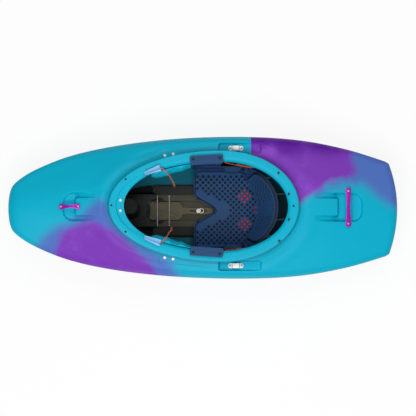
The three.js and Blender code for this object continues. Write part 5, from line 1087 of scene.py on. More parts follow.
def reach_into(x, y, outline):
    """Distance of a plan point from an outline, positive inside it."""
    inside, best = False, 1e9
    for (ax, ay), (bx, by) in zip(outline, outline[1:] + outline[:1]):
        if (ay > y) != (by > y) and x < ax + (y - ay) * (bx - ax) / (by - ay):
            inside = not inside
        dx, dy = bx - ax, by - ay
        t = min(1.0, max(0.0, ((x - ax) * dx + (y - ay) * dy) / (dx * dx + dy * dy)))
        best = min(best, hypot(x - ax - t * dx, y - ay - t * dy))
    return best if inside else -best


def mark_colour_and_shade_zones(mesh):
    """Stores how far each point lies in the violet and mixed zones, and whether it is in the cavity's lower skin, which
    the hull's material darkens as painted shade.
    """
    tree = surface_of(mesh)
    layer = mesh.attributes.new("powder_reach_and_shade", "FLOAT_VECTOR", "POINT")
    for i, vertex in enumerate(mesh.vertices):
        x, y = vertex.co.x / MM, vertex.co.y / MM
        violet = max(reach_into(x, y, zone) for zone in VIOLET_ZONES)
        mixed = max(reach_into(x, y, zone) for zone in MIX_ZONES)
        inside = 0.0
        if vertex.co.z < CAVITY_TOP * MM:
            under_mouth = vertex.normal.z > 0.3 and abs(y) < RIM_HALF_WIDTH - MOUTH_INSET and abs(x) < RIM_FRONT
            facing = tree.ray_cast(vertex.co + vertex.normal * MM, vertex.normal)[0]
            inside = 1.0 if under_mouth or facing else 0.0
        layer.data[i].vector = (violet * MM, mixed * MM, inside)


def sculpt_deck(mesh):
    """Presses the shallow channel round the rim, the soft swell past it and the scoops at the bow's shoulders."""
    for vertex in mesh.vertices:
        x, y, z = (c / MM for c in vertex.co)
        if z < CAVITY_TOP - 30 or vertex.normal.z < 0.2 or not -500 < x < 560:
            continue
        bearing = hypot((x - RIM_CENTRE) / rim_reach(x), y / RIM_HALF_WIDTH)
        past = hypot(x - RIM_CENTRE, y) * (1 - 1 / max(bearing, 0.1))
        ends = max(smooth(110, 230, x), smooth(190, 290, -x))
        if not 2 < past < 130 or ends == 0 or abs(y) < BOWL_HALF + 20 and past > 40:
            continue
        gap = half_width(x) - abs(y)
        if gap < 12:
            continue
        fade = smooth(12, 45, gap) * smooth(2, 14, past)
        channel = -4.2 * exp(-((past - 24) / 15) ** 2) + 3.0 * exp(-((past - 68) / 24) ** 2)
        along, away = x - 250, abs(y) - (236 - (x - 250) * 0.36)
        scoop = -4.0 * exp(-(along / 75) ** 2 - (away / 15) ** 2)
        vertex.co.z += (channel * ends + scoop) * fade * MM


# ---------------------------------------------------------------- solids carved from each other


def carved(mesh, cutters, operation="DIFFERENCE"):
    """The mesh once the cutters are taken from it, or with another operation shared with it."""
    host = linked("carving", mesh)
    tools = [linked("cutter", cutter) for cutter in cutters]
    for tool in tools:
        step = host.modifiers.new("carve", "BOOLEAN")
        step.operation, step.solver, step.object = operation, "EXACT", tool
    made = bpy.data.meshes.new_from_object(host.evaluated_get(bpy.context.evaluated_depsgraph_get()))
    made.name = mesh.name
    for item in [host, *tools]:
        bpy.data.objects.remove(item)
    return made


def extruded(name, outline, low, high, across=False):
    """A plan outline raised from low to high, or with across an outline in X and Z spread along Y."""
    count = len(outline)
    if across:
        points = [(a, low, b) for a, b in outline] + [(a, high, b) for a, b in outline]
    else:
        points = [(a, b, low) for a, b in outline] + [(a, b, high) for a, b in outline]
    faces = [tuple(range(count - 1, -1, -1)), tuple(range(count, 2 * count))]
    faces += [(i, (i + 1) % count, count + (i + 1) % count, count + i) for i in range(count)]
    return mesh_of(name, points, faces)


def rounded_outline(x0, x1, y0, y1, radius, steps=8):
    r = min(radius, (x1 - x0) / 2, (y1 - y0) / 2)
    line = []
    for cx, cy, start in ((x1 - r, y0 + r, -90), (x1 - r, y1 - r, 0), (x0 + r, y1 - r, 90), (x0 + r, y0 + r, 180)):
        for i in range(steps + 1):
            angle = radians(start + 90 * i / steps)
            line.append((cx + r * cos(angle), cy + r * sin(angle)))
    return line


def bent_line(start, bend, end, steps=6):
    """Points after start on a bent corner to end."""
    return [tuple((1 - t) ** 2 * a + 2 * t * (1 - t) * b + t * t * c for a, b, c in zip(start, bend, end))
            for t in (i / steps for i in range(1, steps + 1))]


# ---------------------------------------------------------------- thigh braces

BRACE_FRONT, BRACE_REAR, BRACE_CORNER = 225.0, 54.0, 184.0
BRACE_CORNER_SIDE, BRACE_REAR_SIDE = RIM_HALF_WIDTH - 120.0, RIM_HALF_WIDTH - 78.0
BRACE_GAP, BRACE_WALL, BRACE_DEPTH, BRACE_EASE, BRACE_TRAVEL = 2.5, 4.0, 44.0, 1.2, 10.0
BRACE_SECTION = [(0, 1.1), (0, 0.7), (0, 0.4), (0.14, 0.28), (0.45, 0.34), (0.88, 0.66), (1, 1)]
BRACE_PLATE_FRONT, BRACE_PLATE_REAR, BRACE_PLATE_OUTER = 196.0, 104.0, RIM_HALF_WIDTH - 2.0
BRACE_BOLTS = [(168.0, RIM_HALF_WIDTH - 20.0), (131.0, RIM_HALF_WIDTH - 13.5)]
BRACE_LOBES = [205.0, 154.0, 92.0]
BRACE_SLOPE = -0.27
BRACE_STATIONS, PLATE_STATIONS = 56, 16


def brace_free_side(x):
    if x > BRACE_CORNER:
        return BRACE_CORNER_SIDE
    return lerp(BRACE_CORNER_SIDE, BRACE_REAR_SIDE, (BRACE_CORNER - x) / (BRACE_CORNER - BRACE_REAR))


def brace_line(x):
    """Section of the hook: side and height from its foot at the skirt to its free edge."""
    outer = mouth_half(x) - BRACE_GAP
    width = outer - brace_free_side(x)
    line = through([(outer - w * width, rim_height(x) - d * BRACE_DEPTH) for w, d in BRACE_SECTION], 36)
    lobe = max(exp(-((x - at) / 14) ** 2) for at in BRACE_LOBES)
    out = []
    for y, z in line:
        share = (outer - y) / width
        scoop = smooth(0.04, 0.4, share) * (1 - lobe)
        out.append((y + 4 * share * scoop, z - 7 * scoop))
    return out


def brace_under(x, y):
    return deck_height(x, y) - WALL - BRACE_EASE


def brace_plate_line(x, rows=12):
    inner = mouth_half(x) - BRACE_GAP - BRACE_WALL / 2
    neck = rim_half(x, NECK_INSET) + BRACE_WALL
    low = min(rim_top(x, inner) - SKIRT_DEPTH - BRACE_EASE, brace_under(x, neck))
    across = [lerp(neck, BRACE_PLATE_OUTER, i / rows) for i in range(1, rows + 1)]
    return [(inner, low), (neck, low), *((y, brace_under(x, y)) for y in across)]


def offset_line(line, distance):
    out = []
    for i, (y, z) in enumerate(line):
        a, b = line[max(0, i - 1)], line[min(len(line) - 1, i + 1)]
        size = hypot(b[0] - a[0], b[1] - a[1])
        out.append((y - (b[1] - a[1]) / size * distance, z + (b[0] - a[0]) / size * distance))
    return out


def brace_mesh():
    front, back = [], []
    for i in range(BRACE_STATIONS + 1):
        x = lerp(BRACE_FRONT, BRACE_REAR, i / BRACE_STATIONS)
        line = brace_line(x)
        front.append([(x, y, z) for y, z in line])
        back.append([(x, y, z) for y, z in offset_line(line, BRACE_WALL)])
    hook = soften(grid_solid("thigh_brace", front, back), 1.2, 2, 50)
    above = []
    for i in range(PLATE_STATIONS + 1):
        x = lerp(BRACE_PLATE_REAR, BRACE_PLATE_FRONT, i / PLATE_STATIONS)
        above.append([(x, y, z) for y, z in brace_plate_line(x)])
    below = [[(x, y, z - BRACE_WALL) for x, y, z in row] for row in above]
    slots = []
    half = 3 + BRACE_EASE
    turn = atan(BRACE_SLOPE)
    c, s = cos(turn), sin(turn)
    for x, y in BRACE_BOLTS:
        line = rounded_outline(-BRACE_TRAVEL - half, BRACE_TRAVEL + half, -half, half, half)
        slots.append(extruded("slot", [(x + a * c - b * s, y + a * s + b * c) for a, b in line], 0, HEIGHT))
    return joined("thigh_brace", [hook, carved(grid_solid("plate", above, below), slots)])


# ---------------------------------------------------------------- seat, pads and backband

SEAT_HALF, SEAT_FRONT, SEAT_ARC_CENTRE, SEAT_REAR = 181.0, 41.0, -150.0, 112.0
SEAT_LOW, SEAT_FLAT_HALF, SEAT_WALL = 38.0, 92.0, 4.0
SEAT_CORNER, SEAT_NOTCH_X, SEAT_NOTCH_HALF, SEAT_NOTCH_ROUND = 26.0, -46.0, 44.0, 11.0
PAD_HALF, PAD_MARGIN, PAD_THICK, GAP = 168.0, 5.0, 11.0, 0.3
SEAT_RIBS = (-150.0, -90.0, -30.0, 20.0)
PLATE_OUTER, PLATE_THICK, PLATE_LOW, PLATE_FRONT, PLATE_REAR = 183.7, 4.0, 70.0, 47.0, -206.0
PLATE_FRONT_TOP, PLATE_TOP, PIVOT_X, PIVOT_Z, PIVOT_EYE = 168.0, 202.0, -192.0, 150.0, 12.0
BAND_REACH_LOW, BAND_REACH_TOP, BAND_HALF_LOW, BAND_HALF_TOP = 97.0, 178.0, 150.0, 180.0
BAND_LOW, BAND_END_LOW, BAND_TOP, BAND_END_TOP = 97.0, 128.0, 240.0, 190.0
BAND_WALL, BAND_PAD, BAND_SWEEP = 4.0, 12.0, radians(72)
BAND_ARC, BAND_RISE = 400.0, 143.0
# Rings of a hole, out to in: share of its radius, share of its depth. Holes are looked up by square cells.
HOLE_START, HOLE_CELL, HOLE_RINGS = -49.6, 20, ((1.12, 0.0), (0.86, 0.35), (0.62, 1.0))


def seat_height(x, y):
    """Underside of the seat's bowl: flat in the middle, rising to the sides, the rear and the front."""
    side = max(0.0, abs(y) - SEAT_FLAT_HALF) / (SEAT_HALF - SEAT_FLAT_HALF)
    rear = max(0.0, -170.0 - x) / 92.0
    front = max(0.0, x + 20.0) / 61.0
    return SEAT_LOW + 66.0 * side ** 2 + 44.0 * rear ** 2 + 7.0 * front ** 2


def seat_outline(margin, half, arc_steps=48):
    """Plan outline of the bowl or its pad, with its notch at the front."""
    front, reach, notch = SEAT_FRONT - margin, SEAT_REAR - margin, SEAT_NOTCH_HALF + margin
    tip = SEAT_NOTCH_X - margin
    line = [(tip, -SEAT_NOTCH_ROUND)]
    for i in range(1, 13):
        t = i / 12
        line.append((tip + (front - SEAT_CORNER - tip) * t, -SEAT_NOTCH_ROUND - (notch - SEAT_NOTCH_ROUND) * t))
    line += bent_line(line[-1], (front, -notch - SEAT_CORNER / 2), (front, -notch - SEAT_CORNER))
    for i in range(1, 9):
        line.append((front, -notch - SEAT_CORNER + (-half + notch + 2 * SEAT_CORNER) * i / 8))
    line += bent_line(line[-1], (front, -half), (front - SEAT_CORNER, -half))
    for i in range(1, 17):
        line.append((front - SEAT_CORNER + (SEAT_ARC_CENTRE - front + SEAT_CORNER) * i / 16, -half))
    for i in range(1, arc_steps):
        angle = radians(270 - 180 * i / arc_steps)
        line.append((SEAT_ARC_CENTRE + reach * cos(angle), half * sin(angle)))
    mirrored_side = [(x, -y) for x, y in line if y < -0.01 and not (x < SEAT_ARC_CENTRE)]
    line += mirrored_side[::-1]
    line += bent_line(line[-1], (tip - SEAT_NOTCH_ROUND, 0), (tip, -SEAT_NOTCH_ROUND), 8)[:-1]
    return line


def inward(outline, distance):
    """The outline moved in by a distance along its normals."""
    area = sum(a[0] * b[1] - b[0] * a[1] for a, b in zip(outline, outline[1:] + outline[:1]))
    way = 1 if area > 0 else -1
    count = len(outline)
    out = []
    for i in range(count):
        a, b = outline[i - 1], outline[(i + 1) % count]
        size = hypot(b[0] - a[0], b[1] - a[1]) or 1
        out.append((outline[i][0] - way * (b[1] - a[1]) / size * distance,
                    outline[i][1] + way * (b[0] - a[0]) / size * distance))
    return out


def denser(outline, step):
    """The outline with points added so that none are further apart than step."""
    out = []
    for a, b in zip(outline, outline[1:] + outline[:1]):
        count = max(1, ceil(hypot(b[0] - a[0], b[1] - a[1]) / step))
        out += [(a[0] + (b[0] - a[0]) * i / count, a[1] + (b[1] - a[1]) * i / count) for i in range(count)]
    return out


def hole_lattice(start_x, start_y, wanted):
    """Centres of staggered rows of holes, where they are wanted."""
    pitch = bpy.context.scene.kayak_seat.hole_pitch / MM
    spots = [(start_x + (i + j) * pitch / 2, start_y + (i - j) * pitch / 2)
             for i in range(-30, 31) for j in range(-30, 31)]
    return [spot for spot in spots if wanted(*spot)]


def perforated_pad(name, outline, holes, place, thick, edge, pitch):
    """A foam pad with a rounded edge and real round holes: its flat layout is set out first, then laid in place.

    place(u, v, rise) turns a point of the layout into space; rise runs from 0 at the back to thick at the front.
    holes is a list of hole centres in the layout; pitch is the spacing of the other points.
    """
    seat = bpy.context.scene.kayak_seat
    radius, depth = seat.hole_radius / MM, min(seat.hole_depth / MM, thick * 0.6)
    count = len(outline)
    points, rises = list(outline), [0.0] * count
    for distance, rise in ((edge * 0.12, 0.5), (edge * 0.4, 0.8), (edge, 1.0)):
        ring = [p for p in inward(outline, distance) if reach_into(*p, outline) > distance * 0.75]
        points += ring
        rises += [rise] * len(ring)
    near = {}
    for cx, cy in holes:
        near.setdefault((int(cx // HOLE_CELL), int(cy // HOLE_CELL)), []).append((cx, cy))
        for size, sunk in HOLE_RINGS:
            angles = [pi * i / 4 + pi / 8 for i in range(8)]
            points += [(cx + radius * size * cos(a), cy + radius * size * sin(a)) for a in angles]
            rises += [1.0 - sunk * depth / thick] * len(angles)
    xs, ys = [p[0] for p in outline], [p[1] for p in outline]
    x = min(xs)
    while x < max(xs):
        y = min(ys)
        while y < max(ys):
            cell = (int(x // HOLE_CELL), int(y // HOLE_CELL))
            close = any(hypot(x - a, y - b) < radius * HOLE_RINGS[0][0] + pitch * 0.3
                        for i in (-1, 0, 1) for j in (-1, 0, 1) for a, b in near.get((cell[0] + i, cell[1] + j), ()))
            if not close and reach_into(x, y, outline) > edge + pitch * 0.45:
                points.append((x, y))
                rises.append(1.0)
            y += pitch
        x += pitch
    rim = [(i, (i + 1) % count) for i in range(count)]
    flat, _, triangles, origins, _, _ = delaunay_2d_cdt([Vector(p) for p in points], rim, [], 1, 1e-5)
    on_edge = {i for i, o in enumerate(origins) if any(k < count for k in o)}
    base = len(flat)
    spots = [place(p.x, p.y, thick * (rises[o[0]] if o else 1.0)) for p, o in zip(flat, origins)]
    spots += [place(p.x, p.y, 0.0) for p in flat]
    faces = [tuple(t) for t in triangles] + [tuple(base + k for k in reversed(t)) for t in triangles]
    sides = dict.fromkeys(side for t in triangles for side in zip(t, (*t[1:], t[0])))
    faces += [(b, a, base + a, base + b) for a, b in sides if (b, a) not in sides and a in on_edge and b in on_edge]
    form = form_of([[c * MM for c in p] for p in spots], faces)
    bmesh.ops.remove_doubles(form, verts=form.verts, dist=WELD)
    bmesh.ops.recalc_face_normals(form, faces=form.faces)
    return written(form, bpy.data.meshes.new(name))


def mark_holes(mesh, below):
    """Marks the mesh where its holes are, from 0 to 1, for the painted shade in them; below gives how far a point lies
    below the pad's face.
    """
    layer = mesh.attributes.new("hole_depth", "FLOAT", "POINT")
    for i, vertex in enumerate(mesh.vertices):
        layer.data[i].value = smooth(0.8, 3.5, below(*(c / MM for c in vertex.co)))


def seat_holes():
    outline = seat_outline(PAD_MARGIN, PAD_HALF)

    def wanted(x, y):
        plain = x > -116 and abs(y) < 30 + (x + 116) * 0.45
        return -270 < x < 45 and abs(y) <= PAD_HALF and not plain and reach_into(x, y, outline) > 9

    return hole_lattice(HOLE_START, 0.0, wanted)


def band_point(sweep, rise, out):
    """A point of the backband: sweep from -1 to 1 along it, rise from 0 to 1 up it, out past its inner face."""
    angle = BAND_SWEEP * sweep
    reach, half, low, top = band_section(sweep, rise)
    return (SEAT_ARC_CENTRE - (reach + out) * cos(angle), (half + out) * sin(angle), low + (top - low) * rise)


def band_section(sweep, rise):
    """Reach to the rear and to the side, bottom and top of the backband."""
    end = sweep ** 4
    return (lerp(BAND_REACH_LOW, BAND_REACH_TOP, rise), lerp(BAND_HALF_LOW, BAND_HALF_TOP, rise),
            lerp(BAND_LOW, BAND_END_LOW, end), lerp(BAND_TOP, BAND_END_TOP, end))


def below_band_pad(x, y, z):
    """How far a point of the band's pad lies below its front face."""
    angle = atan2(y, -(x - SEAT_ARC_CENTRE))
    for _ in range(4):
        sweep = max(-1, min(1, angle / BAND_SWEEP))
        _, _, low, top = band_section(sweep, 0)
        reach, half = (size - GAP - BAND_PAD for size in band_section(sweep, (z - low) / (top - low))[:2])
        angle = atan2(y / half, -(x - SEAT_ARC_CENTRE) / reach)
    return (hypot(y / half, (x - SEAT_ARC_CENTRE) / reach) - 1) * min(reach, half)


def seat_pan_mesh():
    xs = [SEAT_FRONT + 6 - (SEAT_FRONT + 12 + 262) * i / 64 for i in range(65)]
    ys = [(SEAT_HALF + 4) * (2 * j / 80 - 1) for j in range(81)]
    top = [[(x, y, seat_height(x, y) + SEAT_WALL) for y in ys] for x in xs]
    low = [[(x, y, seat_height(x, y)) for y in ys] for x in xs]
    bowl = carved(grid_solid("seat_pan", top, low), [extruded("trim", seat_outline(0, SEAT_HALF), 0, HEIGHT)],
                  "INTERSECT")
    side = [(PLATE_FRONT, PLATE_LOW + 10), (PLATE_FRONT, PLATE_FRONT_TOP)]
    side += bent_line(side[-1], (PLATE_FRONT - 26, PLATE_TOP), (PLATE_FRONT - 52, PLATE_TOP), 10)
    side.append((PIVOT_X + 52, PLATE_TOP))
    side += bent_line(side[-1], (PIVOT_X + 26, PLATE_TOP), (PLATE_REAR, PIVOT_Z + PIVOT_EYE), 10)
    side += [(PLATE_REAR, PLATE_LOW + 10)]
    side += bent_line(side[-1], (PLATE_REAR, PLATE_LOW), (PLATE_REAR + 10, PLATE_LOW), 5)
    side += [(PLATE_FRONT - 10, PLATE_LOW)]
    side += bent_line(side[-1], (PLATE_FRONT, PLATE_LOW), (PLATE_FRONT, PLATE_LOW + 10), 5)[:-1]
    plates = []
    for y0, y1 in ((PLATE_OUTER - PLATE_THICK, PLATE_OUTER), (-PLATE_OUTER, PLATE_THICK - PLATE_OUTER)):
        plates.append(soften(extruded("plate", side, y0, y1, True), 1.2, 2, 50))
    ribs = []
    for side_way in (-1, 1):
        for x in SEAT_RIBS:
            y = side_way * (PLATE_OUTER - PLATE_THICK)
            line = [(x - 1.5, PLATE_LOW + 4), (x + 1.5, PLATE_LOW + 4), (x + 1.5, 108), (x - 1.5, 108)]
            a, b = sorted((y, y - side_way * 5))
            ribs.append(extruded("rib", line, a, b, True))
    return joined("seat_pan", [bowl, *plates, *ribs])


HIP_FRONT, HIP_REAR, HIP_LOW, HIP_HIGH, HIP_THICK, HIP_EDGE = -92.0, -170.0, 112.0, 194.0, 24.0, 0.14


def hip_mesh():
    """A pad that is domed on its face and thinner at its corners, with rounded edges."""
    outer = PLATE_OUTER - PLATE_THICK - GAP
    edge = [HIP_EDGE * s for s in (0, 0.08, 0.25, 0.55, 1)]
    middle = [HIP_EDGE + (1 - 2 * HIP_EDGE) * i / 14 for i in range(1, 14)]
    places = edge + middle + [1 - s for s in reversed(edge)]

    def ease(t):
        near = min(t, 1 - t) / HIP_EDGE
        return 1.0 if near >= 1 else sqrt(max(0.0, 1 - (1 - near) ** 2))

    def point(u, v, side):
        corner = ((2 * u - 1) ** 4 + (2 * v - 1) ** 4) / 2
        dome = ((2 * u - 1) ** 2 + (2 * v - 1) ** 2) / 2
        fall = HIP_THICK / 2 * corner * 0.8 + 5 * dome
        return lerp(HIP_FRONT, HIP_REAR, u), outer - (HIP_THICK - fall) * side, lerp(HIP_LOW, HIP_HIGH, v)

    front = [[point(u, v, 0.3 + 0.7 * ease(u) * ease(v)) for v in places] for u in places]
    back = [[point(u, v, 0.0) for v in places] for u in places]
    return grid_solid("hip_pad", front, back)


# ---------------------------------------------------------------- handles, bars, cleats and fasteners

HANDLE_WIDE, HANDLE_FOOT, HANDLE_ARCH = 26.0, 9.0, 9.0


def handle_mesh(name, length, lengthwise, x):
    """A bow-tie bar, wide over its feet and slim in the arch between them, seated on the deck."""
    sides, sections = 28, 72
    slim = 12.0 if lengthwise else 16.0
    rings = []
    for i in range(sections + 1):
        share = i / sections - 0.5
        bend = cos(pi * share) ** 2
        high = (HANDLE_FOOT - bend * 2.5) / 2
        wide = (HANDLE_WIDE - (HANDLE_WIDE - slim) * bend) / 2
        nose = min(1.0, min(i, sections - i) / 3)
        wide *= 0.8 + 0.2 * sqrt(1 - (1 - nose) ** 2)
        middle = HANDLE_FOOT / 2 + HANDLE_ARCH * bend
        ring = []
        for c, s in circle(sides, 0.5):
            bulge = max(abs(c), abs(s)) ** 0.7
            off, up = wide * c / bulge, high * s / bulge
            px, py = (x + share * length, off) if lengthwise else (x + off, share * length)
            deck = deck_height(px, py)
            ring.append((px, py, max(deck + middle + up, deck + GAP)))
        rings.append(ring)
    points = [p for ring in rings for p in ring]
    faces = ring_faces(len(rings), sides)
    faces.append(tuple(range(sides)))
    faces.append(tuple(len(points) - 1 - i for i in range(sides)))
    return soften(mesh_of(name, points, faces), 0.8, 2, 50)


def fastener_mesh(name, radius, high, deep, stem):
    """A button head with a six-sided socket and a plain shank below it, standing on z = 0."""
    socket = radius * 0.45
    profile = [
        (0, -stem), (radius * 0.5, -stem), (radius * 0.5, -0.1), (radius * 0.96, -0.1), (radius, 0.2),
        (radius, high * 0.4), (radius * 0.94, high * 0.66), (radius * 0.8, high * 0.88), (radius * 0.62, high),
        (socket * 1.1, high), (socket, high - 0.2), (socket * 0.98, high - deep), (0, high - deep),
    ]
    mesh = turned(name, profile, 24)
    for vertex in mesh.vertices:
        r = hypot(vertex.co.x, vertex.co.y) / MM
        if abs(r - socket) < socket * 0.12 and vertex.co.z / MM > high - deep - 0.05:
            angle = atan2(vertex.co.y, vertex.co.x)
            swing = (angle + pi / 6) % (pi / 3) - pi / 6
            scale = cos(pi / 6) / cos(swing) * 1.08
            vertex.co.x *= scale
            vertex.co.y *= scale
    return mesh


def stand(mesh, point, up=(0, 0, 1)):
    """Puts a mesh made round Z at a place, its Z along up."""
    turn = Vector((0, 0, 1)).rotation_difference(Vector(up)).to_matrix().to_4x4()
    mesh.transform(Matrix.Translation(Vector(point) * MM) @ turn)
    return mesh


def deck_normal(x, y):
    step = 7.0
    return Vector((-(deck_height(x + step, y) - deck_height(x - step, y)) / (2 * step),
                   -(deck_height(x, y + step) - deck_height(x, y - step)) / (2 * step), 1)).normalized()


def knot_mesh(name, centre, radius, along=(0, 0, -1)):
    """An overhand knot: a trefoil of cord round a short core."""
    way = Vector(along).normalized()
    turn = Vector((0, 0, 1)).rotation_difference(way).to_matrix()
    line = []
    for i in range(73):
        t = 2 * pi * i / 72
        p = Vector((sin(t) + 2 * sin(2 * t), cos(t) - 2 * cos(2 * t), -1.5 * sin(3 * t)))
        line.append(Vector(centre) + turn @ (p * radius * 0.82))
    return tube_mesh(name, line, radius, 10, 0)


# ---------------------------------------------------------------- cords

CORD_RADIUS, ELASTIC_RADIUS, CLEAT_X, CLEAT_SIDE, CLEAT_HIGH = 2.2, 2.5, 221.0, RIM_HALF_WIDTH - 93.0, 12.0
TAIL_STARBOARD = [(0, 0, 0), (-12, 8, -3), (-26, 20, -5), (-36, 32, -20), (-44, 43, -40), (-51, 54, -65),
                  (-56, 63, -92), (-57, 67, -116)]
TAIL_PORT = [(0, 0, 0), (-10, 9, -2), (-22, 24, -4), (-30, 36, -18), (-34, 48, -38), (-44, 60, -60), (-47, 64, -92),
             (-46, 70, -108)]


def tail_line(offsets, side):
    half, turn = 37.3, radians(-20)
    x, y = CLEAT_X - half * cos(turn), CLEAT_SIDE - half * sin(turn)
    z = rim_top(x, y) + CLEAT_HIGH / 2 + CORD_RADIUS
    line = [(x + a - CORD_RADIUS, side * (y - b), z + c) for a, b, c in offsets]
    return through(line, 32)


def mouth_rear(y):
    half = RIM_HALF_WIDTH - MOUTH_INSET - GAP - ELASTIC_RADIUS
    reach = RIM_REAR - MOUTH_INSET - GAP - ELASTIC_RADIUS
    return RIM_CENTRE - reach * sqrt(1 - (y / half) ** 2)


def elastic_line(sweep, side):
    start = Vector(band_point(sweep, 0.93, BAND_WALL + GAP + ELASTIC_RADIUS * 1.5))
    x = mouth_rear(side)
    end = Vector((x, side, rim_top(x, side) - 26.0))
    return [tuple(start.lerp(end, i / 12)) for i in range(13)]


def pull_line():
    def end(x):
        y = mouth_half(x - 15) - GAP - ELASTIC_RADIUS
        return (x, y, rim_top(x, y) - 26.0)

    line = [end(-97), (-207, 178.5, 189), (-217, 178.5, 181.5), (-222, 178.5, 194), end(-150)]
    return through(line, 56)


# ---------------------------------------------------------------- operators

LENS_LENGTH, SENSOR_WIDTH = 280, 36
CAMERA_TARGET = Vector((-0.0221, -0.001, 0.17))
LAMPS = (("key", (0.4, 2.3, 4.4), 182), ("fill", (-0.6, -2.2, 4.3), 80))
LAMP_WIDTH, LAMP_DEPTH, LAMP_AIM = 4.0, 3.0, Vector((0, 0, 0.2))
FLOOR_GLOW = 0.88


class KAYAK_OT_stage(Operator):
    """Camera above the boat, two large soft lamps, an even sky and a pale floor"""

    bl_idname = "kayak.stage"
    bl_label = "Stage"

    def execute(self, context):
        stage = context.scene.kayak_stage
        tilt = stage.camera_tilt
        back = Vector((0, sin(tilt), cos(tilt)))
        right, up = Vector((-1, 0, 0)), Vector((0, -cos(tilt), sin(tilt)))
        lens = bpy.data.cameras.new("camera")
        lens.lens, lens.sensor_width = LENS_LENGTH, SENSOR_WIDTH
        camera = linked("camera", lens)
        turn = Matrix((right, up, back)).transposed().to_4x4()
        camera.matrix_world = Matrix.Translation(CAMERA_TARGET + back * stage.camera_distance) @ turn
        context.scene.camera = camera

        for name, place, power in LAMPS:
            lamp = bpy.data.lights.new(name, "AREA")
            lamp.shape, lamp.size, lamp.size_y, lamp.energy = "RECTANGLE", LAMP_WIDTH, LAMP_DEPTH, power
            softbox = linked(name, lamp)
            softbox.location = place
            softbox.rotation_euler = (LAMP_AIM - Vector(place)).to_track_quat("-Z", "Y").to_euler()

        world = bpy.data.worlds.new("studio")
        world.use_nodes = True
        sky = world.node_tree.nodes["Background"]
        seen = put(world.node_tree, "LightPath", output="Is Camera Ray")
        feed(sky.inputs["Color"], (1, 1, 1))
        feed(sky.inputs["Strength"], seen * (1 - stage.sky_strength) + stage.sky_strength)
        context.scene.world = world
        context.scene.view_settings.view_transform = "Standard"

        half = stage.floor_size / MM / 2
        floor = linked("floor", mesh_of("floor", [(-half, -half, 0), (half, -half, 0), (half, half, 0),
                                                  (-half, half, 0)], [(0, 1, 2, 3)]))
        tree, _ = new_material("pale_floor", Roughness=0.9)
        shader = tree.nodes["Principled BSDF"]
        feed(shader.inputs["Base Color"], stage.floor_colour)
        glow = put(tree, "Emission", {"Color": (1, 1, 1)})
        seen = put(tree, "LightPath", output="Is Camera Ray")
        surface = put(tree, "MixShader", (seen * FLOOR_GLOW, Wire(tree, shader.outputs[0]), glow))
        feed(tree.nodes["Material Output"].inputs["Surface"], surface)
        floor.data.materials.append(MATERIALS["pale_floor"])
        return {"FINISHED"}


class KAYAK_OT_finishes(Operator):
    """All surface finishes, from the settings"""

    bl_idname = "kayak.finishes"
    bl_label = "Finishes"

    def execute(self, context):
        make_materials(context.scene)
        return {"FINISHED"}


class KAYAK_OT_cord_tails(Operator):
    """The two cord ends that hang from the cleats into the cockpit, each with its knot"""

    bl_idname = "kayak.cord_tails"
    bl_label = "Cord tails"

    def execute(self, context):
        for (name, side), offsets in zip(SIDES, (TAIL_PORT, TAIL_STARBOARD)):
            line = through(tail_line(offsets, side), 60)
            bulges = [CORD_RADIUS * (1.08 + 0.3 * sin(i * 1.05) ** 2) for i in range(len(line))]
            mesh = tube_mesh("cord_tail", line, CORD_RADIUS, 12, radii=bulges)
            tail = show(f"cord_tail_{name}_braid", mesh, "boat", "orange_braid",
                        [f"cord_tail_{name}"], 60)
            way = (Vector(line[-1]) - Vector(line[-2])).normalized()
            knot = show(f"cord_tail_{name}_knot", knot_mesh("knot", Vector(line[-1]) + way * 3, 1.9, way),
                        "boat", "orange_braid", crease=60)
            metres = [tuple(c * MM for c in p) for p in line]
        return {"FINISHED"}


class KAYAK_OT_hull(Operator):
    """The moulded shell with its rim, pockets, finger bowls and panels"""

    bl_idname = "kayak.hull"
    bl_label = "Hull"

    def execute(self, context):
        mesh = hull_mesh()
        sculpt_deck(mesh)
        mark_colour_and_shade_zones(mesh)
        show("hull_moulding", mesh, "boat", "hull_two_colour", ["hull_shell"], 52)
        return {"FINISHED"}


class KAYAK_OT_thigh_braces(Operator):
    """The moulded thigh braces under the rim"""

    bl_idname = "kayak.thigh_braces"
    bl_label = "Thigh braces"

    def execute(self, context):
        left = brace_mesh()
        for name, mesh in (("left", left), ("right", mirrored(left, "thigh_brace_other"))):
            show(f"thigh_brace_{name}_moulding", mesh, f"thigh_brace_{name}", "brace_plastic",
                 [f"thigh_brace_{name}"])
        return {"FINISHED"}


SEAT_SCREW_X, SEAT_SCREW_SIDE = 21, 49


class KAYAK_OT_seat(Operator):
    """The seat's bowl and side plates, and the perforated pad on it"""

    bl_idname = "kayak.seat"
    bl_label = "Seat"

    def execute(self, context):
        show("seat_bowl", seat_pan_mesh(), "boat", "navy_plastic", ["seat_pan"], 35)

        def lay(x, y, rise):
            return x, y, seat_height(x, y) + SEAT_WALL + GAP + rise

        mesh = perforated_pad("seat_pad", seat_outline(PAD_MARGIN, PAD_HALF), seat_holes(), lay, PAD_THICK, 5.0, 6.5)
        mark_holes(mesh, lambda x, y, z: lay(x, y, PAD_THICK)[2] - z)
        pad = show("seat_cushion", mesh, "boat", "seat_pad_foam", ["seat_pad"], 50)
        for name, side in SIDES:
            place = lay(SEAT_SCREW_X, side * SEAT_SCREW_SIDE, PAD_THICK - 0.6)
            screw = stand(fastener_mesh("seat_screw", 5.0, 2.6, 1.6, 4.0), place)
            show(f"seat_screw_{name}", screw, "boat", "dark_metal")
        return {"FINISHED"}


BAND_STATIONS, BAND_ROWS = 64, 12
PIVOT_BORE = [(0, -60), (4.3, -60), (4.3, 60), (0, 60)]


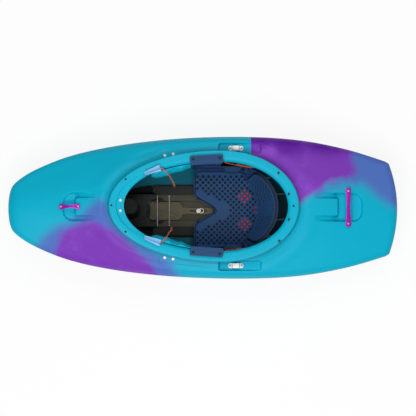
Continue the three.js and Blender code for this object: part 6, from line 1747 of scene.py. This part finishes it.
class KAYAK_OT_backband(Operator):
    """The moulded band with its arms, and the perforated pad round the paddler's back"""

    bl_idname = "kayak.backband"
    bl_label = "Backband"

    def execute(self, context):
        front, back = ([[band_point(2 * i / BAND_STATIONS - 1, j / BAND_ROWS, out) for j in range(BAND_ROWS + 1)]
                        for i in range(BAND_STATIONS + 1)] for out in (0, BAND_WALL))
        band = soften(grid_solid("backband_plate", front, back), 1.3, 2, 50)
        end = band_point(1, 0.5, BAND_WALL)[0] - BAND_PAD
        arm = [(PIVOT_X + PIVOT_EYE * cos(radians(a)), PIVOT_Z + PIVOT_EYE * sin(radians(a)))
               for a in range(-90, 91, 10)]
        arm += [(end, PIVOT_Z + PIVOT_EYE), (end, PIVOT_Z - PIVOT_EYE)]
        inner, outer = band_point(1, 0.5, 0)[1] + GAP, PLATE_OUTER - PLATE_THICK - GAP
        hole = stand(turned("hole", PIVOT_BORE, 24), (PIVOT_X, outer, PIVOT_Z), (0, 1, 0))
        port_arm = soften(carved(extruded("arm", arm, inner, outer, True), [hole]), 0.8, 2, 50)
        mesh = joined("backband_plate", [band, port_arm.copy(), mirrored(port_arm, "other_arm")])
        show("backband_moulding", mesh, "backband", "navy_plastic", ["backband_plate"])

        margin = BAND_ARC / 16
        outline = denser(rounded_outline(-BAND_ARC / 2 + margin, BAND_ARC / 2 - margin, 0, BAND_RISE, 22, 8), 9)

        def lay(u, v, rise):
            return band_point(u / (BAND_ARC / 2), v / BAND_RISE, -GAP - rise)

        def wanted(u, v):
            plain = abs(u) < 26 and v > 30
            return abs(u) < BAND_ARC / 2 and 0 < v < BAND_RISE and reach_into(u, v, outline) > 11 and not plain

        holes = hole_lattice(0.0, BAND_RISE / 2, wanted)
        mesh = perforated_pad("backband_pad", outline, holes, lay, BAND_PAD, 4.0, 7.5)
        mark_holes(mesh, below_band_pad)
        pad = show("backband_cushion", mesh, "backband", "backband_foam", ["backband_pad"], 50)
        for name, side in reversed(SIDES):
            place = Vector(band_point(side * 9 / 200, 0.9, -GAP - BAND_PAD + 1.2))
            screw = stand(fastener_mesh("band_screw", 4.2, 2.4, 1.5, 4.0), place, (1, 0, 0.35))
            show(f"backband_screw_{name}", screw, "backband", "dark_metal")
        return {"FINISHED"}


class KAYAK_OT_hip_pads(Operator):
    """The shaped foam pads inside the seat's side plates"""

    bl_idname = "kayak.hip_pads"
    bl_label = "Hip pads"

    def execute(self, context):
        left = hip_mesh()
        for name, mesh in (("left", left), ("right", mirrored(left, "hip_pad_other"))):
            pad = show(f"hip_pad_{name}_foam", mesh, "boat", "navy_foam", [f"hip_pad_{name}"], 60)
        return {"FINISHED"}


def show_copy(node, part, material, width, segments=2, angle=32.0, body="boat"):
    """A finished piece in a node's own form, with its edges rounded over."""
    return show(f"{node}_{part}", rounded_copy(node, width, segments, angle), body, material, [node])


class KAYAK_OT_seat_hangers(Operator):
    """The bars that hang the seat from the rim"""

    bl_idname = "kayak.seat_hangers"
    bl_label = "Seat hangers"

    def execute(self, context):
        for name, _ in SIDES:
            show_copy(f"seat_hanger_{name}", "moulding", "hanger_plastic", 1.6, 3)
        return {"FINISHED"}


CHANNEL_X, CHANNEL_REAR = 197.0, 104.0
STRIP_REAR, STRIP_LENGTH, STRIP_INNER, STRIP_OUTER, STRIP_TAPER, STRIP_HIGH = 226.5, 110, 74.5, 111, 24, 9


def arch_outline(rear, middle, half, nose):
    """Plan outline from a square rear edge to a half-round nose."""
    turns = [pi * (i / 24 - 0.5) for i in range(25)]
    return [(rear, -half), *((middle + nose * cos(a), half * sin(a)) for a in turns), (rear, half)]


class KAYAK_OT_floor(Operator):
    """Floor tray, its front plate and the foam strips beside them"""

    bl_idname = "kayak.floor"
    bl_label = "Floor"

    def execute(self, context):
        show_copy("floor_tray", "moulding", "tray_base_plastic", 1.2)
        notch = extruded("notch", arch_outline(120, CHANNEL_X, 57, 58), 12, 90)
        plate = carved(rounded_copy("tray_front_plate", 1.4), [notch])
        show("tray_front_moulding", plate, "boat", "charcoal_plastic", ["tray_front_plate"])
        for name, side in SIDES:
            foam = show_copy(f"floor_foam_{name}", "strip", "closed_cell_foam", 3.0, 3)
            foam = show(f"floor_foam_{name}_front", self.front_strip(side), "boat", "black_foam")
        return {"FINISHED"}

    def front_strip(self, side):
        """Thin foam that follows the hull's floor from the side strip towards the bow."""
        tree = surface_of(bpy.data.objects["hull_moulding"].data)
        bottom = []
        for i in range(25):
            x = STRIP_REAR + STRIP_LENGTH * i / 24
            outer = STRIP_OUTER - STRIP_TAPER * (i / 24) ** 2
            row = [(x, side * (STRIP_INNER + (outer - STRIP_INNER) * j / 8)) for j in range(9)]
            floors = [tree.ray_cast(Vector((*p, 150)) * MM, Vector((0, 0, -1)))[0].z / MM for p in row]
            bottom.append([(*p, z + GAP) for p, z in zip(row, floors)])
        top = [[(x, y, z + STRIP_HIGH) for x, y, z in row] for row in bottom]
        return soften(grid_solid("front_strip", top, bottom), 2.5, 3, 50)


FOOTREST_RIBS = (-30.0, -20.0, -10.0, 0.0, 10.0, 20.0, 30.0)
FORK_X = 202


class KAYAK_OT_footrest(Operator):
    """The slotted slider, the frame with its fork and ribs, and the two foam-faced plates"""

    bl_idname = "kayak.footrest"
    bl_label = "Footrest"

    def execute(self, context):
        show_copy("footrest_slider", "moulding", "tray_plastic", 0.8, body="footrest")
        ribs = [soften(extruded("rib", rounded_outline(110, 196, y - 2.6, y + 2.6, 2.6, 5), 15.2, 18.4), 0.9, 2, 50)
                for y in FOOTREST_RIBS]
        frame = show("footrest_frame_moulding", joined("footrest_frame", [rounded_copy("footrest_frame", 0.8), *ribs]),
                     "footrest", "tray_plastic", ["footrest_frame"])
        frame.data.materials.append(MATERIALS["black_plastic"])
        for face in frame.data.polygons:
            face.material_index = 1 if face.center.x > FORK_X * MM else 0
        outer = arch_outline(CHANNEL_REAR, CHANNEL_X, 54, 54)
        inner = arch_outline(CHANNEL_REAR, CHANNEL_X, 41, 35)[::-1]
        groove = [(CHANNEL_REAR + (x - CHANNEL_REAR) * 0.985 + 2, y * 0.9) for x, y in outer]
        groove += [(x, y * 1.06) for x, y in inner]
        band = carved(extruded("footrest_channel", outer + inner, 12, 17.6), [extruded("groove", groove, 15.4, 20)])
        show("footrest_channel", soften(band, 0.6, 2, 50), "footrest", "black_plastic")
        for name, _ in SIDES:
            plate = show_copy(f"footrest_plate_{name}", "foam", "closed_cell_foam", 1.6, 3,
                              body="footrest")
        return {"FINISHED"}


ADJUSTER_X, ADJUSTER_FOOT, RING_RADIUS = 20.0, 16.3, 10


class KAYAK_OT_adjuster(Operator):
    """The adjuster's screw and washer with the ring that turns it"""

    bl_idname = "kayak.adjuster"
    bl_label = "Adjuster"

    def execute(self, context):
        head = [(3, 0), (9.6, 0), (10, 0.4), (10, 2.4), (9.4, 3), (6.4, 3), (4.9, 3.9), (4.5, 5.2), (4.5, 10),
                (3.9, 10.8), (0, 11)]
        profile = [(0, 7.4), (2.6, 7.4), (3, 7.9), *((r, ADJUSTER_FOOT + z) for r, z in head)]
        screw = turned("adjuster_screw", profile, 36)
        screw.transform(Matrix.Translation((ADJUSTER_X * MM, 0, 0)))
        angles = [2 * pi * i / 48 for i in range(49)]
        ring = [(ADJUSTER_X - 12.25 + RING_RADIUS * cos(a), RING_RADIUS * sin(a), ADJUSTER_FOOT + 7)
                for a in angles]
        mesh = joined("adjuster_screw", [screw, tube_mesh("ring", ring, 1.7, 14, 0)])
        show("adjuster_screw_steel", mesh, "adjuster", "brushed_steel", ["adjuster_screw"])
        return {"FINISHED"}


RODS = (("front", 204.0), ("rear", 151.0))
ROD_RADIUS, ROD_HALF, ROD_HIGH = 2.2, 70.8, 26.5


class KAYAK_OT_tray_rods(Operator):
    """The steel rods across the tray"""

    bl_idname = "kayak.tray_rods"
    bl_label = "Tray rods"

    def execute(self, context):
        end = [(0, -ROD_HALF), (1.6, -ROD_HALF), (ROD_RADIUS, -ROD_HALF + 0.6)]
        for name, x in RODS:
            rod = stand(turned("rod", end + [(r, -z) for r, z in reversed(end)], 20), (x, 0, ROD_HIGH), (0, 1, 0))
            show(f"tray_rod_{name}_steel", rod, "boat", "rod_steel", [f"tray_rod_{name}"])
        return {"FINISHED"}


class KAYAK_OT_pillars(Operator):
    """The foam pillars in bow and stern"""

    bl_idname = "kayak.pillars"
    bl_label = "Foam pillars"

    def execute(self, context):
        for node in ("bow_pillar", "stern_pillar"):
            foam = show_copy(node, "foam", "black_foam", 2.0, 2, 40)
        return {"FINISHED"}


def top_of(node):
    """Middle of a node's box in plan and its top, in millimetres."""
    low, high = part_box(node)
    return (low.x + high.x) / 2 / MM, (low.y + high.y) / 2 / MM, high.z / MM


# Each handle's node, length, whether it runs along the boat, and place along the boat.
HANDLES = (("bow_handle", 91.0, True, 586.0), ("stern_handle", 172.0, False, -640.0))


class KAYAK_OT_handles(Operator):
    """The anodised grab handles at bow and stern"""

    bl_idname = "kayak.handles"
    bl_label = "Handles"

    def execute(self, context):
        for node, *form in HANDLES:
            bores = [stand(turned("bore", [(0, -2.9), (5.3, -2.9), (5.3, 8), (0, 8)], 36), top_of(f"{node}_screw_{i}"))
                     for i in (1, 2)]
            show(f"{node}_bar", soften(carved(handle_mesh(node, *form), bores), 0.3, 1, 60), "boat",
                 "anodised_magenta", [node])
        return {"FINISHED"}


class KAYAK_OT_security_bars(Operator):
    """The pressed bars across the deck's side pockets"""

    bl_idname = "kayak.security_bars"
    bl_label = "Security bars"

    def execute(self, context):
        for name, _ in SIDES:
            show_copy(f"security_bar_{name}", "steel", "brushed_steel", 0.7, 3)
        return {"FINISHED"}


BRACE_NUT = [(0, -17.6), (3, -17.6), (3, -15), (7, -14.8), (7, -11.9), (3, -11.7), (0, -11.6)]


class KAYAK_OT_fasteners(Operator):
    """Every screw and bolt, each with a socket in its head"""

    bl_idname = "kayak.fasteners"
    bl_label = "Fasteners"

    def execute(self, context):
        upright = []
        for name, _ in SIDES:
            upright += [(f"hanger_screw_{i}_{name}", 6.0, 3.0, 8.0, "dark_metal") for i in (1, 2)]
            upright += [(f"security_bar_screw_{end}_{name}", 5.5, 2.5, 2.5, "rod_steel") for end in ("front", "rear")]
            upright.append((f"shelf_bolt_{name}", 5.5, 3.0, 3.2, "brushed_steel"))
        for handle, *_ in HANDLES:
            upright += [(f"{handle}_screw_{i}", 5.0, 2.5, 4.5, "rod_steel") for i in (1, 2)]
        for node, radius, high, stem, finish in upright:
            x, y, top = top_of(node)
            mesh = stand(fastener_mesh(node, radius, high, high * 0.6, stem), (x, y, top - high))
            show(f"{node}_head", mesh, "boat", finish, [node], 35)
        for name, side in SIDES:
            for i, (x, y) in enumerate(BRACE_BOLTS):
                node = f"thigh_brace_bolt_{i + 1}_{name}"
                up = deck_normal(x, y)
                foot = Vector((x, y, deck_height(x, y))) - up * 3
                mesh = joined(node, [fastener_mesh(node, 7.0, 4.0, 2.4, 12.0), turned("nut", BRACE_NUT, 24)])
                mesh = stand(mesh, (foot.x, side * foot.y, foot.z), (up.x, side * up.y, up.z))
                show(f"{node}_head", mesh, "boat", "brushed_steel", [node], 35)
            node = f"backband_pivot_{name}"
            place = (PIVOT_X, side * (PLATE_OUTER + GAP), PIVOT_Z)
            mesh = stand(fastener_mesh(node, 7.0, 4.0, 2.4, 18.4), place, (0, side, 0))
            show(f"{node}_head", mesh, "boat", "dark_metal", [node], 35)
        return {"FINISHED"}


class KAYAK_OT_cleats(Operator):
    """The pale cleats that hold the braces' cords"""

    bl_idname = "kayak.cleats"
    bl_label = "Cleats"

    def execute(self, context):
        for name, _ in SIDES:
            show_copy(f"cord_cleat_{name}", "moulding", "pale_cleat_plastic", 1.5, 3)
        return {"FINISHED"}


# Each elastic's share of the band's sweep and its place across the rim.
ELASTICS = ((0.25, 55.0), (0.62, 128.0))


class KAYAK_OT_backband_cords(Operator):
    """Elastics and pull cords that join the band to the rim"""

    bl_idname = "kayak.backband_cords"
    bl_label = "Backband cords"

    def execute(self, context):
        for name, side in SIDES:
            for i, place in enumerate(ELASTICS):
                line = [(x, side * y, z) for x, y, z in elastic_line(*place)]
                mesh = tube_mesh("elastic", line, ELASTIC_RADIUS, 12)
                self.bend(f"backband_elastic_{i + 1}_{name}", mesh, "black_braid", "black_cord", line[-1], line[0])
            line = [(x, side * y, z) for x, y, z in pull_line()]
            mesh = tube_mesh("pull_cord", line, ELASTIC_RADIUS, 12)
            self.bend(f"backband_cord_{name}", mesh, "orange_braid", "orange_cord",
                      tuple((a + b) / 2 for a, b in zip(line[0], line[-1])), line[len(line) // 2])
        return {"FINISHED"}

    def bend(self, node, mesh, finish, slot, start, end):
        """Shows a cord as one fixed piece in place and hides its node."""
        cord = finished(f"{node}_braid", mesh, finish)
        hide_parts(node)
        tuple(c * MM for c in start)
        tuple(c * MM for c in end)
        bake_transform(cord)


PLUG_HEAD = [(0, -14.8), (4.0, -14.8), (4.4, -14.2), (4.4, -3.1), (8.2, -3.1), (8.5, -2.8), (8.5, -0.7), (7.9, -0.1),
             (5.6, 0), (5.4, -0.9), (0, -0.9)]


class KAYAK_OT_drain(Operator):
    """The drain's seat and its plug in the transom"""

    bl_idname = "kayak.drain"
    bl_label = "Drain"

    def execute(self, context):
        show_copy("drain_seat", "moulding", "black_plastic", 0.6)
        low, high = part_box("drain_plug")
        axis = Vector(next(j for j in FRAME["joints"] if j["name"] == "drain_plug_pull")["axis"]).normalized()
        centre = (low + high) / 2
        top = centre + axis * max((v.co - centre).dot(axis) for v in NODES["drain_plug"].data.vertices)
        grip = soften(extruded("grip", rounded_outline(-5.2, 5.2, -1.3, 1.3, 1.2, 4), -1.2, -0.05), 0.3, 1, 50)
        mesh = joined("drain_plug", [turned("drain_plug", PLUG_HEAD, 36), grip])
        show("drain_plug_moulding", stand(mesh, Vector((top.x, 0, top.z)) / MM, axis), "drain_plug",
             "black_plastic", ["drain_plug"], 35)
        return {"FINISHED"}


RIM_KNOTS = ((-331, -145), (-376, -52), (-376, 60), (-334, 154))
RIM_RIVETS = ((338, 115), (338, -115), (400, 0), (-397, 0))


class KAYAK_OT_rim_details(Operator):
    """Cord knots and small rivets on the rim"""

    bl_idname = "kayak.rim_details"
    bl_label = "Rim details"

    def execute(self, context):
        for i, (x, y) in enumerate(RIM_KNOTS):
            knot = knot_mesh("knot", (x, y, rim_top(x, y) + 3.4), 1.7)
            show(f"rim_knot_{i + 1}", knot, "boat", "black_braid", crease=60)
        for i, (x, y) in enumerate(RIM_RIVETS):
            rivet = stand(fastener_mesh("rivet", 4.6, 1.9, 0.9, 3.0), (x, y, rim_top(x, y) - 0.3))
            show(f"rim_rivet_{i + 1}", rivet, "boat", "black_plastic", crease=35)
        return {"FINISHED"}


class KAYAK_PT_looks(Panel):
    """Settings and pieces of the kayak"""

    bl_idname = "KAYAK_PT_looks"
    bl_label = "Kayak"
    bl_space_type = "VIEW_3D"
    bl_region_type = "UI"
    bl_category = "Kayak"

    def draw(self, context):
        for name, settings in SETTINGS.items():
            box = self.layout.box()
            box.label(text=name.split("_")[1].capitalize())
            for value in settings.__annotations__:
                box.prop(getattr(context.scene, name), value)
        column = self.layout.column(align=True)
        for step in STEPS:
            column.operator(step.bl_idname)


STEPS = [
    KAYAK_OT_stage, KAYAK_OT_finishes, KAYAK_OT_cord_tails, KAYAK_OT_hull, KAYAK_OT_thigh_braces, KAYAK_OT_seat,
    KAYAK_OT_backband, KAYAK_OT_hip_pads, KAYAK_OT_seat_hangers, KAYAK_OT_floor, KAYAK_OT_footrest,
    KAYAK_OT_adjuster, KAYAK_OT_tray_rods, KAYAK_OT_pillars, KAYAK_OT_handles, KAYAK_OT_security_bars,
    KAYAK_OT_fasteners, KAYAK_OT_cleats, KAYAK_OT_backband_cords, KAYAK_OT_drain, KAYAK_OT_rim_details,
]
SETTINGS = {"kayak_hull": HullSettings, "kayak_seat": SeatSettings, "kayak_fittings": FittingSettings,
            "kayak_stage": StageSettings}


def register():
    for item in [*SETTINGS.values(), *STEPS, KAYAK_PT_looks]:
        bpy.utils.register_class(item)
    for name, settings in SETTINGS.items():
        setattr(bpy.types.Scene, name, PointerProperty(type=settings))


def unregister():
    for name in SETTINGS:
        delattr(bpy.types.Scene, name)
    for item in reversed([*SETTINGS.values(), *STEPS, KAYAK_PT_looks]):
        bpy.utils.unregister_class(item)


def main():
    register()
    for step in STEPS:
        group, name = step.bl_idname.split(".")
        getattr(getattr(bpy.ops, group), name)()
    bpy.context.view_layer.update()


if __name__ == "__main__":
    main()
